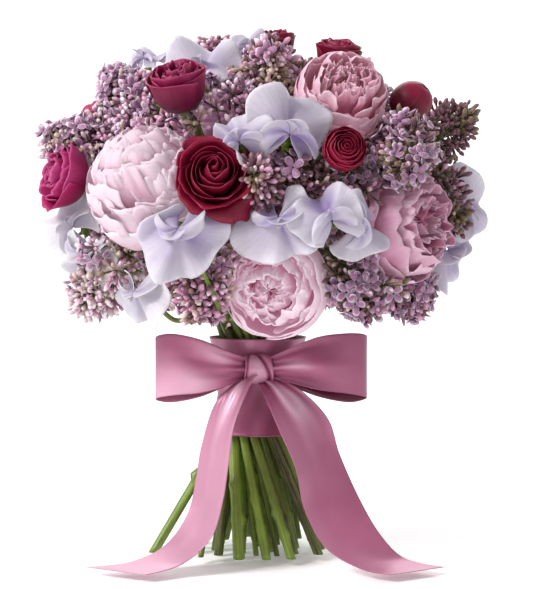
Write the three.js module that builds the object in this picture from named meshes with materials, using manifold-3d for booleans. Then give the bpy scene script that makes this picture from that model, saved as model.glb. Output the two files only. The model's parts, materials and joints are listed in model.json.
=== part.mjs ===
// A hand-tied bouquet of peonies, roses, lilac and sweet peas. It stands on its own
// splayed stem ends and is bound at the waist by a wide satin ribbon with a bow.
//
// Millimetres, +Z up, +X to the right and -Y to the front. The origin lies on the
// surface the stems stand on, below the middle of the bouquet's bounding box.
import * as THREE from 'three';
import { mergeVertices } from 'three/addons/utils/BufferGeometryUtils.js';
import Module from 'manifold-3d';

const wasm = await Module();
wasm.setup();

// ---------------------------------------------------------------- driving dimensions
const BINDING_Z = 121;            // height of the tie, where the stems cross
const TWIST_PER_MM = 0.0193;      // sideways travel of a stem per mm of height, in parts of its radius
const UNTWIST = THREE.MathUtils.degToRad(58); // turn from a flower back to its place in the tie
const STEM_GAP = 0.3;             // between neighbouring stems at the tie
const CURVE_START_Z = 161;        // above this height a stem bends to its flower
const PACKED_RADIUS = 22;         // of the bundle before the stems settle against each other
const SETTLE_SEED = 45;           // one of the many ways in which the stems can settle
const LOOSE_STEM = 'lilac_15';    // the outermost stem, which leans away below the wrap
const LOOSE_STEM_LEAN = [-31, 3]; // from where its cut end would otherwise stand
const SETTLE_ROUNDS = 1500;
const BEND_ROUNDS = 400;
const HEAD_MIDDLE_X = 5;
const HEAD_RADIUS = 150;

const PEONY_STEM = 4.3;           // stem radii
const ROSE_STEM = 3.25;
const LILAC_STEM = 3.4;
const LILAC_COLUMNS = 7;          // sides of a lilac stem, and bud clusters round a panicle
const SWEET_PEA_STEM = 2.0;
const STEM_TAPER = 0.12;          // how much thinner a stem is by its flower
const STALK_RADIUS = 1.5;
const CALYX = 0.085;              // radius of a sweet pea's calyx, in widths of the bloom

const PETAL_THICKNESS = 1.1;
const SEAT_GAP = 0.3;             // between a bloom and the top of its stem
const PRESS_GAP = 0.4;            // between flowers that press on each other

const WRAP_BOTTOM_Z = 86;
const WRAP_TOP_Z = 157;
const WRAP_THICKNESS = 1.6;       // several turns of the ribbon
const WRAP_CLEARANCE = 0.3;
const RIBBON_THICKNESS = 1.0;
const KNOT_Z = 136;
const KNOT_SIZE = [11, 8, 10];    // half its width, depth and height

// Blooms: centre of the ball each fills, its radius, and the way it faces: degrees
// turned from the front towards the right, and degrees lifted.
const PEONIES = [
  { at: [-72, -104, 263], radius: 41, turn: -28, lift: 18, colour: 0xf3ccd8 },
  { at: [12, -92, 198], radius: 36, turn: -3, lift: 2, colour: 0xeeb4c8 },
  { at: [97, -86, 238], radius: 39, turn: 48, lift: 6, colour: 0xdd9ab8 },
  { at: [57, -94, 325], radius: 31, turn: 12, lift: 34, colour: 0xd893b3 },
  { at: [-34, -58, 309], radius: 25, turn: -15, lift: 48, colour: 0xd596b8 },
  { at: [-82, 84, 262], radius: 41, turn: -138, lift: 16, colour: 0xf0c2d2 },
  { at: [70, 98, 250], radius: 41, turn: 146, lift: 14, colour: 0xe3a6bf },
];
const ROSES = [
  { at: [-52, -120, 330], radius: 19, turn: -20, lift: 58, colour: 0x94104b },
  { at: [-28, -143, 270], radius: 20, turn: 4, lift: 22, colour: 0x9c0a33 },
  { at: [-138, -62, 274], radius: 20, turn: -60, lift: 12, colour: 0xb30d58 },
  { at: [57, -138, 287], radius: 14, turn: 10, lift: 14, colour: 0x8a0834 },
  { at: [108, -68, 326], radius: 16, turn: 58, lift: 40, colour: 0x6f0a2c },
  { at: [57, -50, 360], radius: 15, turn: 20, lift: 70, colour: 0x8a0a38 },
  { at: [13, -26, 371], radius: 14, turn: 0, lift: 76, colour: 0x870b3b },
  { at: [-122, 38, 322], radius: 18, turn: -118, lift: 42, colour: 0x9a0c40 },
  { at: [118, 44, 318], radius: 18, turn: 118, lift: 40, colour: 0x86092f },
];
// Lilac panicles: where each starts and ends, and its greatest radius.
const LILACS = [
  { from: [-76, -48, 308], to: [-108, -40, 360], radius: 26 },
  { from: [-94, -46, 296], to: [-158, -42, 312], radius: 24 },
  { from: [-84, -64, 220], to: [-138, -70, 176], radius: 28 },
  { from: [-20, -92, 232], to: [-52, -112, 172], radius: 27 },
  { from: [2, -50, 318], to: [10, -88, 362], radius: 25 },
  { from: [-27, 0, 338], to: [-33, 4, 382], radius: 24 },
  { from: [98, -78, 291], to: [91, -136, 294], radius: 25 },
  { from: [124, -30, 296], to: [168, -12, 326], radius: 22 },
  { from: [132, -46, 280], to: [160, -38, 236], radius: 22 },
  { from: [54, -98, 212], to: [72, -108, 164], radius: 22 },
  { from: [4, -106, 248], to: [-1, -146, 272], radius: 17 },
  { from: [99, -52, 200], to: [128, -58, 168], radius: 24 },
  { from: [-34, 50, 330], to: [-60, 82, 358], radius: 28 },
  { from: [46, 40, 336], to: [76, 60, 364], radius: 27 },
  { from: [-4, 96, 280], to: [-8, 142, 316], radius: 30 },
  { from: [0, 80, 222], to: [-10, 128, 194], radius: 29 },
];
// Sweet pea sprays: for each bloom its place, its width, and the way it faces.
const SWEET_PEAS = [
  [
    { at: [-38, -74, 356], width: 54, turn: -12, lift: 34 },
    { at: [-7, -54, 366], width: 34, turn: 4, lift: 34 },
  ],
  [{ at: [-82, -14, 368], width: 30, turn: -40, lift: 45 }],
  [
    { at: [20, -142, 303], width: 48, turn: 14, lift: 12 },
    { at: [-13, -142, 298], width: 34, turn: -10, lift: 16 },
  ],
  [{ at: [-50, -150, 230], width: 50, turn: -14, lift: 0 }],
  [
    { at: [14, -146, 238], width: 44, turn: -14, lift: 2 },
    { at: [44, -152, 246], width: 38, turn: 6, lift: 10 },
    { at: [68, -138, 238], width: 36, turn: 26, lift: 0 },
  ],
  [
    { at: [-144, -52, 242], width: 50, turn: -66, lift: 4 },
    { at: [-124, -72, 214], width: 42, turn: -52, lift: -8 },
  ],
  [{ at: [-82, -106, 188], width: 44, turn: -34, lift: -8 }],
  [
    { at: [164, 4, 262], width: 46, turn: 84, lift: 14 },
    { at: [150, 8, 214], width: 46, turn: 92, lift: -4 },
  ],
  [
    { at: [-46, 134, 252], width: 50, turn: -162, lift: 8 },
    { at: [26, 146, 262], width: 48, turn: 172, lift: 10 },
  ],
];
// Bow loops, from the knot out and back: x, distance in front of the knot, height of
// the ribbon's middle above the knot, and half of the width that it shows there.
const LEFT_LOOP = [
  [-4, 2, 0, 6], [-20, 10, 1, 12], [-40, 16, 3, 19], [-59, 14, 4, 22], [-71, 6, 2, 22.5],
  [-73, -3, -1, 22], [-62, -9, -4, 21], [-42, -8, -4, 17], [-20, -4, -2, 10], [-4, 0, 0, 6],
];
const RIGHT_LOOP = [
  [4, 2, 0, 6], [22, 10, 3, 12], [43, 17, 5, 19], [63, 15, 5, 21.5], [76, 7, 3, 22.5],
  [78, -3, 0, 22], [66, -9, -4, 21], [45, -8, -4, 17], [22, -4, -2, 10], [4, 0, 0, 6],
];
// Bow tails: middle of the ribbon, then the way from its middle to its right edge.
const LEFT_TAIL = [
  [[-5, -46, 133], [6, 0, 1]],
  [[-17, -52, 121], [13, -3, 8]],
  [[-28, -57, 91], [12, -12, 9]],
  [[-32, -61, 66], [12, -14, 7]],
  [[-37, -66, 40], [13, -13, 7]],
  [[-49, -72, 17], [17, -10, 5]],
  [[-71, -79, 3.5], [19, -10, 1.5]],
  [[-97, -92, 0.8], [22, -13, 0]],
];
const RIGHT_TAIL = [
  [[6, -46, 131], [6, 1, 2]],
  [[20, -52, 117], [13, 7, 3]],
  [[33, -57, 98], [18, 10, 2]],
  [[43, -60, 72], [16, 14, 3]],
  [[53, -64, 42], [20, 8, 2]],
  [[68, -68, 16], [20, 7, 3]],
  [[88, -76, 2.5], [17, 14, 0.5]],
  [[110, -92, 0.8], [20, 11, 0]],
];

// A bloom's profile, in radii: its wall from the base up, then its layers from the
// outside in, each with a rim of so many petals. hollow is the valley inside the rim.
const PEONY_SHAPE = {
  columns: 20,
  wall: [[0.28, 0], [0.72, 0.16], [0.96, 0.52], [1.0, 0.95]],
  layers: [
    { petals: 5, out: 0.94, height: 1.32, hollow: [0.77, 0.84] },
    { petals: 5, out: 0.69, height: 1.56, hollow: [0.52, 1.0] },
    { petals: 4, out: 0.44, height: 1.72, hollow: [0.24, 1.24] },
  ],
  heart: [0.12, 1.6],
};
const ROSE_SHAPE = {
  columns: 18,
  wall: [[0.28, 0], [0.74, 0.24], [0.95, 0.74]],
  layers: [
    { petals: 6, out: 1.0, height: 1.24, hollow: [0.72, 0.8] },
    { petals: 3, out: 0.62, height: 1.54, hollow: [0.36, 1.0] },
  ],
  heart: [0.26, 1.62],
};
const BLOOM_BASE = 0.86;          // depth of a bloom's base behind its middle, in radii
const PETAL_DIP = 0.3;            // how far a rim dips between two petals
const PETAL_LAP = 0.05;           // how far one edge of a petal stands prouder than the other

const GREEN = 0x5f8a3a;
const LILAC_COLOUR = 0x9b7fae;
const SWEET_PEA_COLOUR = 0xd9d2ee;
const RIBBON_COLOUR = 0xc07a94;

// ---------------------------------------------------------------- small helpers
const vec = (x, y, z) => new THREE.Vector3(x, y, z);
const point = ([x, y, z]) => new THREE.Vector3(x, y, z);
const rad = THREE.MathUtils.degToRad;
const clamp01 = (x) => Math.min(1, Math.max(0, x));
const smooth = (x) => clamp01(x) ** 2 * (3 - 2 * clamp01(x));

// A repeatable series of numbers from 0 to 1.
function series(seed) {
  let state = seed * 7919 + 12345;
  return () => {
    state = (Math.imul(state, 1664525) + 1013904223) >>> 0;
    return state / 4294967296;
  };
}

function facing({ turn, lift }) {
  const flat = Math.cos(rad(lift));
  return vec(Math.sin(rad(turn)) * flat, -Math.cos(rad(turn)) * flat, Math.sin(rad(lift)));
}

// Two directions square to a forward direction: right and up.
function sidesOf(forward) {
  const right = vec(0, 0, 1).cross(forward).normalize();
  const up = forward.clone().cross(right).normalize();
  return { right, up };
}

function closedGeometry(points, triangles) {
  const geometry = new THREE.BufferGeometry();
  const flat = points.flatMap((p) => [p.x, p.y, p.z]);
  geometry.setAttribute('position', new THREE.Float32BufferAttribute(flat, 3));
  geometry.setIndex(triangles.flat());
  return geometry;
}

function solidOf(geometry) {
  const bare = geometry.clone();
  bare.deleteAttribute('normal');
  bare.deleteAttribute('uv');
  const merged = mergeVertices(bare, 1e-4);
  return new wasm.Manifold(new wasm.Mesh({
    numProp: 3,
    vertProperties: new Float32Array(merged.attributes.position.array),
    triVerts: new Uint32Array(merged.index.array),
  }));
}

function geometryOf(solid) {
  const mesh = solid.getMesh();
  const geometry = new THREE.BufferGeometry();
  geometry.setAttribute('position', new THREE.BufferAttribute(new Float32Array(mesh.vertProperties), 3));
  geometry.setIndex(new THREE.BufferAttribute(new Uint32Array(mesh.triVerts), 1));
  return geometry;
}

function fuse(geometries) {
  return geometries.map(solidOf).reduce((joined, next) => joined.add(next));
}

// The largest of the bodies that a solid falls into.
function mainBody(solid) {
  return solid.decompose().reduce((best, next) => (next.volume() > best.volume() ? next : best));
}

// ---------------------------------------------------------------- surfaces
// A thin closed blade about a surface: middle(u, v) with u from -1 to 1 across and v
// from 0 to 1 along. Both faces are split alike.
function blade(columns, rows, thickness, middle) {
  const grid = [];
  for (let j = 0; j <= rows; j += 1) {
    grid.push([]);
    for (let i = 0; i <= columns; i += 1) {
      grid[j].push(middle((2 * i) / columns - 1, j / rows));
    }
  }
  const normalAt = (i, j) => {
    const across = grid[j][Math.min(i + 1, columns)].clone().sub(grid[j][Math.max(i - 1, 0)]);
    const along = grid[Math.min(j + 1, rows)][i].clone().sub(grid[Math.max(j - 1, 0)][i]);
    return across.cross(along).normalize();
  };
  const points = [];
  for (const side of [0.5, -0.5]) {
    for (let j = 0; j <= rows; j += 1) {
      for (let i = 0; i <= columns; i += 1) {
        points.push(grid[j][i].clone().addScaledVector(normalAt(i, j), side * thickness));
      }
    }
  }
  const width = columns + 1;
  const half = width * (rows + 1);
  const at = (i, j) => j * width + i;
  const triangles = [];
  for (let j = 0; j < rows; j += 1) {
    for (let i = 0; i < columns; i += 1) {
      const [a, b, c, d] = [at(i, j), at(i + 1, j), at(i + 1, j + 1), at(i, j + 1)];
      triangles.push([a, b, c], [a, c, d]);
      triangles.push([half + a, half + c, half + b], [half + a, half + d, half + c]);
    }
  }
  const rim = [];
  for (let i = 0; i < columns; i += 1) rim.push([at(i, 0), at(i + 1, 0)]);
  for (let j = 0; j < rows; j += 1) rim.push([at(columns, j), at(columns, j + 1)]);
  for (let i = columns; i > 0; i -= 1) rim.push([at(i, rows), at(i - 1, rows)]);
  for (let j = rows; j > 0; j -= 1) rim.push([at(0, j), at(0, j - 1)]);
  for (const [p, q] of rim) {
    triangles.push([p, half + p, half + q], [p, half + q, q]);
  }
  return closedGeometry(points, triangles);
}

// A closed tube through rings of points, with flat ends.
function ringTube(rings) {
  const sides = rings[0].length;
  const points = rings.flat();
  const triangles = [];
  for (let k = 0; k + 1 < rings.length; k += 1) {
    for (let i = 0; i < sides; i += 1) {
      const next = (i + 1) % sides;
      const [a, b] = [k * sides + i, k * sides + next];
      triangles.push([a, b, b + sides], [a, b + sides, a + sides]);
    }
  }
  const last = (rings.length - 1) * sides;
  for (let i = 1; i + 1 < sides; i += 1) {
    triangles.push([0, i + 1, i], [last, last + i, last + i + 1]);
  }
  return closedGeometry(points, triangles);
}

function ringAround(centre, normal, radius, sides) {
  const right = vec(1, 0, 0).addScaledVector(normal, -normal.x).normalize();
  const up = normal.clone().cross(right);
  const ring = [];
  for (let i = 0; i < sides; i += 1) {
    const angle = (2 * Math.PI * i) / sides;
    ring.push(centre.clone()
      .addScaledVector(right, radius * Math.cos(angle))
      .addScaledVector(up, radius * Math.sin(angle)));
  }
  return ring;
}

// ---------------------------------------------------------------- room for each flower
// Peonies and roses are balls that meet on flat seams, lilac and sweet peas bend round them.
const BALL_ROOM = 1.05;
const balls = [...PEONIES, ...ROSES];
for (const ball of balls) {
  ball.centre = point(ball.at);
  ball.forward = facing(ball);
  ball.base = ball.centre.clone().addScaledVector(ball.forward, -BLOOM_BASE * ball.radius);
}

// Keeps a petal's point on its own side of the seam with every neighbouring ball.
function keepOnOwnSide(p, own, margin) {
  for (const other of balls) {
    if (other === own) continue;
    const apart = other.centre.clone().sub(own.centre);
    const distance = apart.length();
    const [mine, theirs] = [own.radius * BALL_ROOM, other.radius * BALL_ROOM];
    if (distance > mine + theirs + 2 * margin) continue;
    apart.divideScalar(distance);
    const seam = (distance + (mine ** 2 - theirs ** 2) / distance) / 2;
    const beyond = p.clone().sub(own.centre).dot(apart) - (seam - margin);
    if (beyond > 0) p.addScaledVector(apart, -beyond);
  }
  return p;
}

// Pushes a point out of every given ball.
function pushOut(p, rooms, margin) {
  for (let pass = 0; pass < 5; pass += 1) {
    for (const room of rooms) {
      const away = p.clone().sub(room.centre);
      const short = room.radius + margin - away.length();
      if (short > 0) p.addScaledVector(away.normalize(), short);
    }
  }
  return p;
}

const bloomRooms = balls.map(({ centre, radius }) => ({ centre, radius: radius * BALL_ROOM }));

// A panicle's outline: radius along its axis, round at the start and tapered to the tip.
function panicleRadius(share, radius) {
  return radius * (1 - (1 - share) ** 6) * (1 - 0.97 * share ** 2.2) ** 0.8;
}

for (const lilac of LILACS) {
  lilac.start = point(lilac.from);
  lilac.end = point(lilac.to);
  lilac.rooms = [0.16, 0.42, 0.7, 0.92].map((share) => ({
    centre: lilac.start.clone().lerp(lilac.end, share),
    radius: panicleRadius(share, lilac.radius) * 1.08,
  }));
}

// Where a sweet pea's petals meet its stalk.
const headRooms = [...bloomRooms, ...LILACS.flatMap((lilac) => lilac.rooms)];
function heartOf(bloom) {
  const { up } = sidesOf(facing(bloom));
  const heart = point(bloom.at).addScaledVector(up, -0.14 * bloom.width);
  return pushOut(heart, headRooms, CALYX * bloom.width + 1.5);
}

// ---------------------------------------------------------------- stems
// Every flower has one stem. The stems cross at the tie as a spiral, so each is a
// straight ruling below the curve's start, and all turn the same way.
const stems = [
  ...PEONIES.map((bloom, i) => ({
    name: `peony_stem_${i + 1}`, radius: PEONY_STEM, sides: 6, top: bloom.base, end: bloom.forward,
    own: [bloomRooms[i]], flare: 0.2 * bloom.radius,
  })),
  ...ROSES.map((bloom, i) => ({
    name: `rose_stem_${i + 1}`, radius: ROSE_STEM, sides: 5, top: bloom.base, end: bloom.forward,
    own: [bloomRooms[PEONIES.length + i]], flare: 0.28 * bloom.radius,
  })),
  ...LILACS.map((lilac, i) => ({
    name: `lilac_${i + 1}`, radius: LILAC_STEM, sides: LILAC_COLUMNS, top: lilac.start,
    end: lilac.end.clone().sub(lilac.start).normalize(), own: lilac.rooms,
  })),
  ...SWEET_PEAS.map((spray, i) => ({
    name: `sweet_pea_${i + 1}`, radius: SWEET_PEA_STEM, sides: 5, top: heartOf(spray[0]),
    end: facing(spray[0]).add(vec(0, 0, 1)).normalize(), own: [], flare: CALYX * spray[0].width,
  })),
];

// Places in the tie: each stem starts on the side its flower asks for, then the
// stems are drawn together and pushed apart until none overlaps.
function settleInTie() {
  for (const stem of stems) {
    const [x, y] = [stem.top.x - HEAD_MIDDLE_X, stem.top.y];
    const angle = Math.atan2(y, x) + UNTWIST;
    const reach = PACKED_RADIUS * Math.min(1, Math.hypot(x, y) / (0.8 * HEAD_RADIUS));
    stem.slot = new THREE.Vector2(Math.cos(angle), Math.sin(angle)).multiplyScalar(reach);
  }
  const next = series(SETTLE_SEED);
  for (let round = 0; round < SETTLE_ROUNDS; round += 1) {
    const progress = round / SETTLE_ROUNDS;
    const jostle = 0.6 * Math.max(0, 1 - progress / 0.75);
    const pull = progress < 0.85 ? 0.996 : 1;
    for (const stem of stems) {
      stem.slot.multiplyScalar(pull);
      stem.slot.x += jostle * (next() - 0.5);
      stem.slot.y += jostle * (next() - 0.5);
    }
    for (let i = 0; i < stems.length; i += 1) {
      for (let j = i + 1; j < stems.length; j += 1) {
        const apart = stems[j].slot.clone().sub(stems[i].slot);
        const short = stems[i].radius + stems[j].radius + STEM_GAP - apart.length();
        if (short <= 0) continue;
        apart.normalize().multiplyScalar(short / 2);
        stems[i].slot.sub(apart);
        stems[j].slot.add(apart);
      }
    }
  }
}
settleInTie();
const bundleRadius = Math.max(...stems.map((stem) => stem.slot.length() + stem.radius));

// A place in the tie carried along its ruling to another height.
function onRuling(slot, z) {
  const turn = TWIST_PER_MM * (z - BINDING_Z);
  return vec(slot.x + turn * slot.y, slot.y - turn * slot.x, z);
}

function spread(z) {
  return Math.hypot(1, TWIST_PER_MM * (z - BINDING_Z));
}

// The curved part of a stem, from its ruling to its flower.
const CURVE_STEPS = 6;
function curveOf(stem) {
  const start = onRuling(stem.slot, CURVE_START_Z);
  const leaving = start.clone().sub(onRuling(stem.slot, CURVE_START_Z - 10)).normalize();
  const reach = start.distanceTo(stem.top);
  const curve = new THREE.CubicBezierCurve3(
    start,
    start.clone().addScaledVector(leaving, 0.3 * reach),
    stem.top.clone().addScaledVector(stem.end, -0.3 * reach),
    stem.top,
  );
  return curve.getPoints(CURVE_STEPS);
}

function nearestOnSegment(p, a, b) {
  const along = b.clone().sub(a);
  const share = clamp01(p.clone().sub(a).dot(along) / along.lengthSq());
  return { share, place: a.clone().addScaledVector(along, share) };
}

// Bends the curved parts clear of each other and of the flowers.
function bendStemsClear() {
  for (const stem of stems) {
    stem.plain = curveOf(stem);
    stem.path = stem.plain.map((p) => p.clone());
  }
  for (let round = 0; round < BEND_ROUNDS; round += 1) {
    const evening = 0.06 * (1 - round / BEND_ROUNDS);
    for (const stem of stems) stem.shift = stem.path.map(() => vec(0, 0, 0));
    for (const one of stems) {
      for (const other of stems) {
        if (one === other) continue;
        const needed = one.radius + other.radius + 1.2;
        for (let k = 1; k < CURVE_STEPS; k += 1) {
          for (let m = 0; m < CURVE_STEPS; m += 1) {
            const [a, b] = [other.path[m], other.path[m + 1]];
            if (one.path[k].distanceTo(a) > needed + a.distanceTo(b)) continue;
            const { share, place } = nearestOnSegment(one.path[k], a, b);
            const away = one.path[k].clone().sub(place);
            const short = needed - away.length();
            if (short <= 0) continue;
            away.normalize().multiplyScalar(short * 0.5);
            one.shift[k].add(away);
            other.shift[m].addScaledVector(away, -(1 - share));
            other.shift[m + 1].addScaledVector(away, -share);
          }
        }
      }
      for (const room of headRooms) {
        if (one.own.includes(room)) continue;
        for (let m = 0; m < CURVE_STEPS; m += 1) {
          const { share, place } = nearestOnSegment(room.centre, one.path[m], one.path[m + 1]);
          const away = place.clone().sub(room.centre);
          const short = room.radius + one.radius + 1.5 - away.length();
          if (short <= 0) continue;
          away.normalize().multiplyScalar(short * 0.7);
          one.shift[m].addScaledVector(away, 1 - share);
          one.shift[m + 1].addScaledVector(away, share);
        }
      }
    }
    for (const stem of stems) {
      for (let k = 1; k < CURVE_STEPS; k += 1) stem.path[k].add(stem.shift[k].clampLength(0, 3));
      const moved = stem.path.map((p, k) => p.clone().sub(stem.plain[k]));
      for (let k = 1; k < CURVE_STEPS; k += 1) {
        const even = moved[k - 1].clone().add(moved[k + 1]).multiplyScalar(0.5).sub(moved[k]);
        stem.path[k].addScaledVector(even, evening);
      }
    }
  }
}
bendStemsClear();

// A stem's rings: level on the ruling, square to the stem near the flower.
function stemRings(stem, gapAtTop) {
  const cutEnd = onRuling(stem.slot, 0);
  const rings = [];
  if (stem.name === LOOSE_STEM) {
    cutEnd.add(vec(...LOOSE_STEM_LEAN, 0));
    const bend = onRuling(stem.slot, WRAP_BOTTOM_Z - 3);
    rings.push(ringAround(bend, vec(0, 0, 1), stem.radius, stem.sides));
  }
  rings.unshift(ringAround(cutEnd, vec(0, 0, 1), stem.radius, stem.sides));
  const last = stem.path.length - 1;
  stem.path.forEach((p, k) => {
    const before = stem.path[Math.max(0, k - 1)];
    const after = stem.path[Math.min(last, k + 1)];
    const tangent = k === last ? stem.end.clone() : after.clone().sub(before).normalize();
    const normal = vec(0, 0, 1).lerp(tangent, smooth(k / 2)).normalize();
    const centre = p.clone();
    if (k === last) centre.addScaledVector(stem.end, -gapAtTop);
    const thin = stem.radius * (1 - STEM_TAPER * Math.min(1, (2 * k) / last));
    const radius = k === last && stem.flare ? stem.flare : thin;
    rings.push(ringAround(centre, normal, radius, stem.sides));
  });
  return rings;
}

// ---------------------------------------------------------------- peonies and roses
// A bloom is one closed surface that climbs its outer wall, goes over the rim of each
// layer of petals and down into the valley behind it, and ends on the heart. A rim dips
// between petals, and each petal stands prouder on one edge, so that petals lap.
function bloomGeometry(bloom, shape, seed) {
  const next = series(seed);
  const { right, up } = sidesOf(bloom.forward);
  const { radius, base, forward } = bloom;
  const { columns, wall, layers, heart } = shape;
  const points = [];
  const firstTurn = 2 * Math.PI * next();
  const place = (i, out, height) => {
    const turn = firstTurn + (2 * Math.PI * i) / columns;
    const p = base.clone()
      .addScaledVector(right, radius * out * Math.cos(turn))
      .addScaledVector(up, radius * out * Math.sin(turn))
      .addScaledVector(forward, radius * height);
    return keepOnOwnSide(p, bloom, PRESS_GAP / 2);
  };
  const addRing = (profile) => {
    for (let i = 0; i < columns; i += 1) {
      const { out, height } = profile(i);
      points.push(place(i, out, height));
    }
  };
  // A column's place across its petal, from -1 at one edge to 1 at the other.
  const across = (i, layer) => {
    const width = columns / layer.petals;
    return (2 * ((i + layer.offset) % width)) / width - 1;
  };
  layers.forEach((layer, k) => {
    layer.offset = k;
    layer.ripple = 2 * Math.PI * next();
  });
  const outer = layers[0];
  const proud = (i, layer, amount) => 1 + amount * across(i, layer);
  points.push(base.clone());
  wall.forEach(([out, height], k) => addRing((i) => {
    const lap = (PETAL_LAP * k) / wall.length;
    return { out: out * proud(i, outer, lap), height };
  }));
  for (const layer of layers) {
    const rimOut = (i) => layer.out * proud(i, layer, PETAL_LAP)
      * (1 + 0.02 * Math.sin(3 * i + layer.ripple));
    const rimHeight = (i) => layer.height * (1 + 0.03 * Math.sin(2 * i + layer.ripple))
      - PETAL_DIP * Math.abs(across(i, layer)) ** 3;
    const wallThickness = PETAL_THICKNESS / radius;
    addRing((i) => ({ out: rimOut(i), height: rimHeight(i) }));
    addRing((i) => ({ out: rimOut(i) - wallThickness, height: rimHeight(i) - 0.01 }));
    addRing(() => ({ out: layer.hollow[0], height: layer.hollow[1] }));
  }
  addRing(() => ({ out: heart[0], height: heart[1] }));
  points.push(base.clone().addScaledVector(forward, radius * heart[1] - 0.02 * radius));
  return closedGeometry(points, wovenRings((points.length - 2) / columns, columns));
}

// Triangles of a closed surface: a first pole, rings of points, and a last pole.
function wovenRings(rings, columns) {
  const triangles = [];
  const at = (k, i) => 1 + k * columns + (i % columns);
  for (let i = 0; i < columns; i += 1) {
    triangles.push([0, at(0, i + 1), at(0, i)]);
    triangles.push([1 + rings * columns, at(rings - 1, i), at(rings - 1, i + 1)]);
    for (let k = 0; k + 1 < rings; k += 1) {
      triangles.push([at(k, i), at(k, i + 1), at(k + 1, i + 1)]);
      triangles.push([at(k, i), at(k + 1, i + 1), at(k + 1, i)]);
    }
  }
  return triangles;
}

// ---------------------------------------------------------------- lilac
// A panicle is a closed spindle whose every cell rises to a point, a cluster of buds.
// The rows are set over by half a cell, as the clusters grow in a spiral.
const LILAC_ROWS = 6;
function keepFromLilacs(p, own, margin) {
  const mine = nearestOnSegment(p, own.start, own.end);
  for (const other of LILACS) {
    if (other === own) continue;
    const theirs = nearestOnSegment(mine.place, other.start, other.end);
    const apart = theirs.place.clone().sub(mine.place);
    const distance = apart.length();
    if (distance > own.radius + other.radius + 6) continue;
    apart.divideScalar(distance);
    const middle = (distance * own.radius) / (own.radius + other.radius);
    const beyond = p.clone().sub(mine.place).dot(apart) - (middle - margin);
    if (beyond > 0) p.addScaledVector(apart, -beyond);
  }
  return p;
}

function lilacGeometry(lilac, stem, seed) {
  const next = series(seed);
  const forward = lilac.end.clone().sub(lilac.start);
  const length = forward.length();
  forward.divideScalar(length);
  const { right, up } = sidesOf(forward);
  const place = (share, turn, radius) => {
    const p = lilac.start.clone()
      .addScaledVector(forward, length * share)
      .addScaledVector(right, radius * Math.cos(turn))
      .addScaledVector(up, radius * Math.sin(turn));
    keepFromLilacs(p, lilac, PRESS_GAP);
    return pushOut(p, bloomRooms, PRESS_GAP + 0.6);
  };
  const turnOf = (i, j) => (2 * Math.PI * (i + j / 2)) / LILAC_COLUMNS;
  const points = [...stemRings(stem, 0).flat()];
  const stemRingCount = points.length / LILAC_COLUMNS;
  const triangles = [];
  const add = (p) => points.push(p) - 1;
  const corners = [];
  for (let j = 0; j <= LILAC_ROWS; j += 1) {
    const share = 0.05 + (0.88 * j) / LILAC_ROWS;
    const low = panicleRadius(share, lilac.radius) * 0.74;
    corners.push([]);
    for (let i = 0; i < LILAC_COLUMNS; i += 1) corners[j].push(add(place(share, turnOf(i, j), low)));
  }
  const top = add(place(1.04, 0, 0));
  for (let j = 0; j < LILAC_ROWS; j += 1) {
    const share = 0.05 + (0.88 * (j + 0.5)) / LILAC_ROWS;
    for (let i = 0; i < LILAC_COLUMNS; i += 1) {
      const high = panicleRadius(share, lilac.radius) * (1 + 0.24 * (next() - 0.4));
      const peak = add(place(share + 0.02, turnOf(i + 0.75, j), high));
      const k = (i + 1) % LILAC_COLUMNS;
      const [a, b, c, d] = [corners[j][i], corners[j][k], corners[j + 1][k], corners[j + 1][i]];
      triangles.push([a, b, peak], [b, c, peak], [c, d, peak], [d, a, peak]);
    }
  }
  const turn = nearestColumn(points, stemRingCount, corners[0]);
  for (let i = 0; i < LILAC_COLUMNS; i += 1) {
    const k = (i + 1) % LILAC_COLUMNS;
    triangles.push([top, corners[LILAC_ROWS][i], corners[LILAC_ROWS][k]]);
    const [a, b] = [i, k].map((column) => (stemRingCount - 1) * LILAC_COLUMNS + column);
    const [c, d] = [i, k].map((column) => corners[0][(column + turn) % LILAC_COLUMNS]);
    triangles.push([a, b, d], [a, d, c]);
    for (let ring = 0; ring + 1 < stemRingCount; ring += 1) {
      const [p, q] = [i, k].map((column) => ring * LILAC_COLUMNS + column);
      triangles.push([p, q, q + LILAC_COLUMNS], [p, q + LILAC_COLUMNS, p + LILAC_COLUMNS]);
    }
  }
  for (let i = 1; i + 1 < LILAC_COLUMNS; i += 1) triangles.push([0, i + 1, i]);
  return closedGeometry(points, triangles);
}

// How many columns the panicle's first row is turned from the stem's last ring.
function nearestColumn(points, rings, row) {
  const start = points[(rings - 1) * LILAC_COLUMNS];
  const distances = row.map((index) => points[index].distanceTo(start));
  return distances.indexOf(Math.min(...distances));
}

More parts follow.
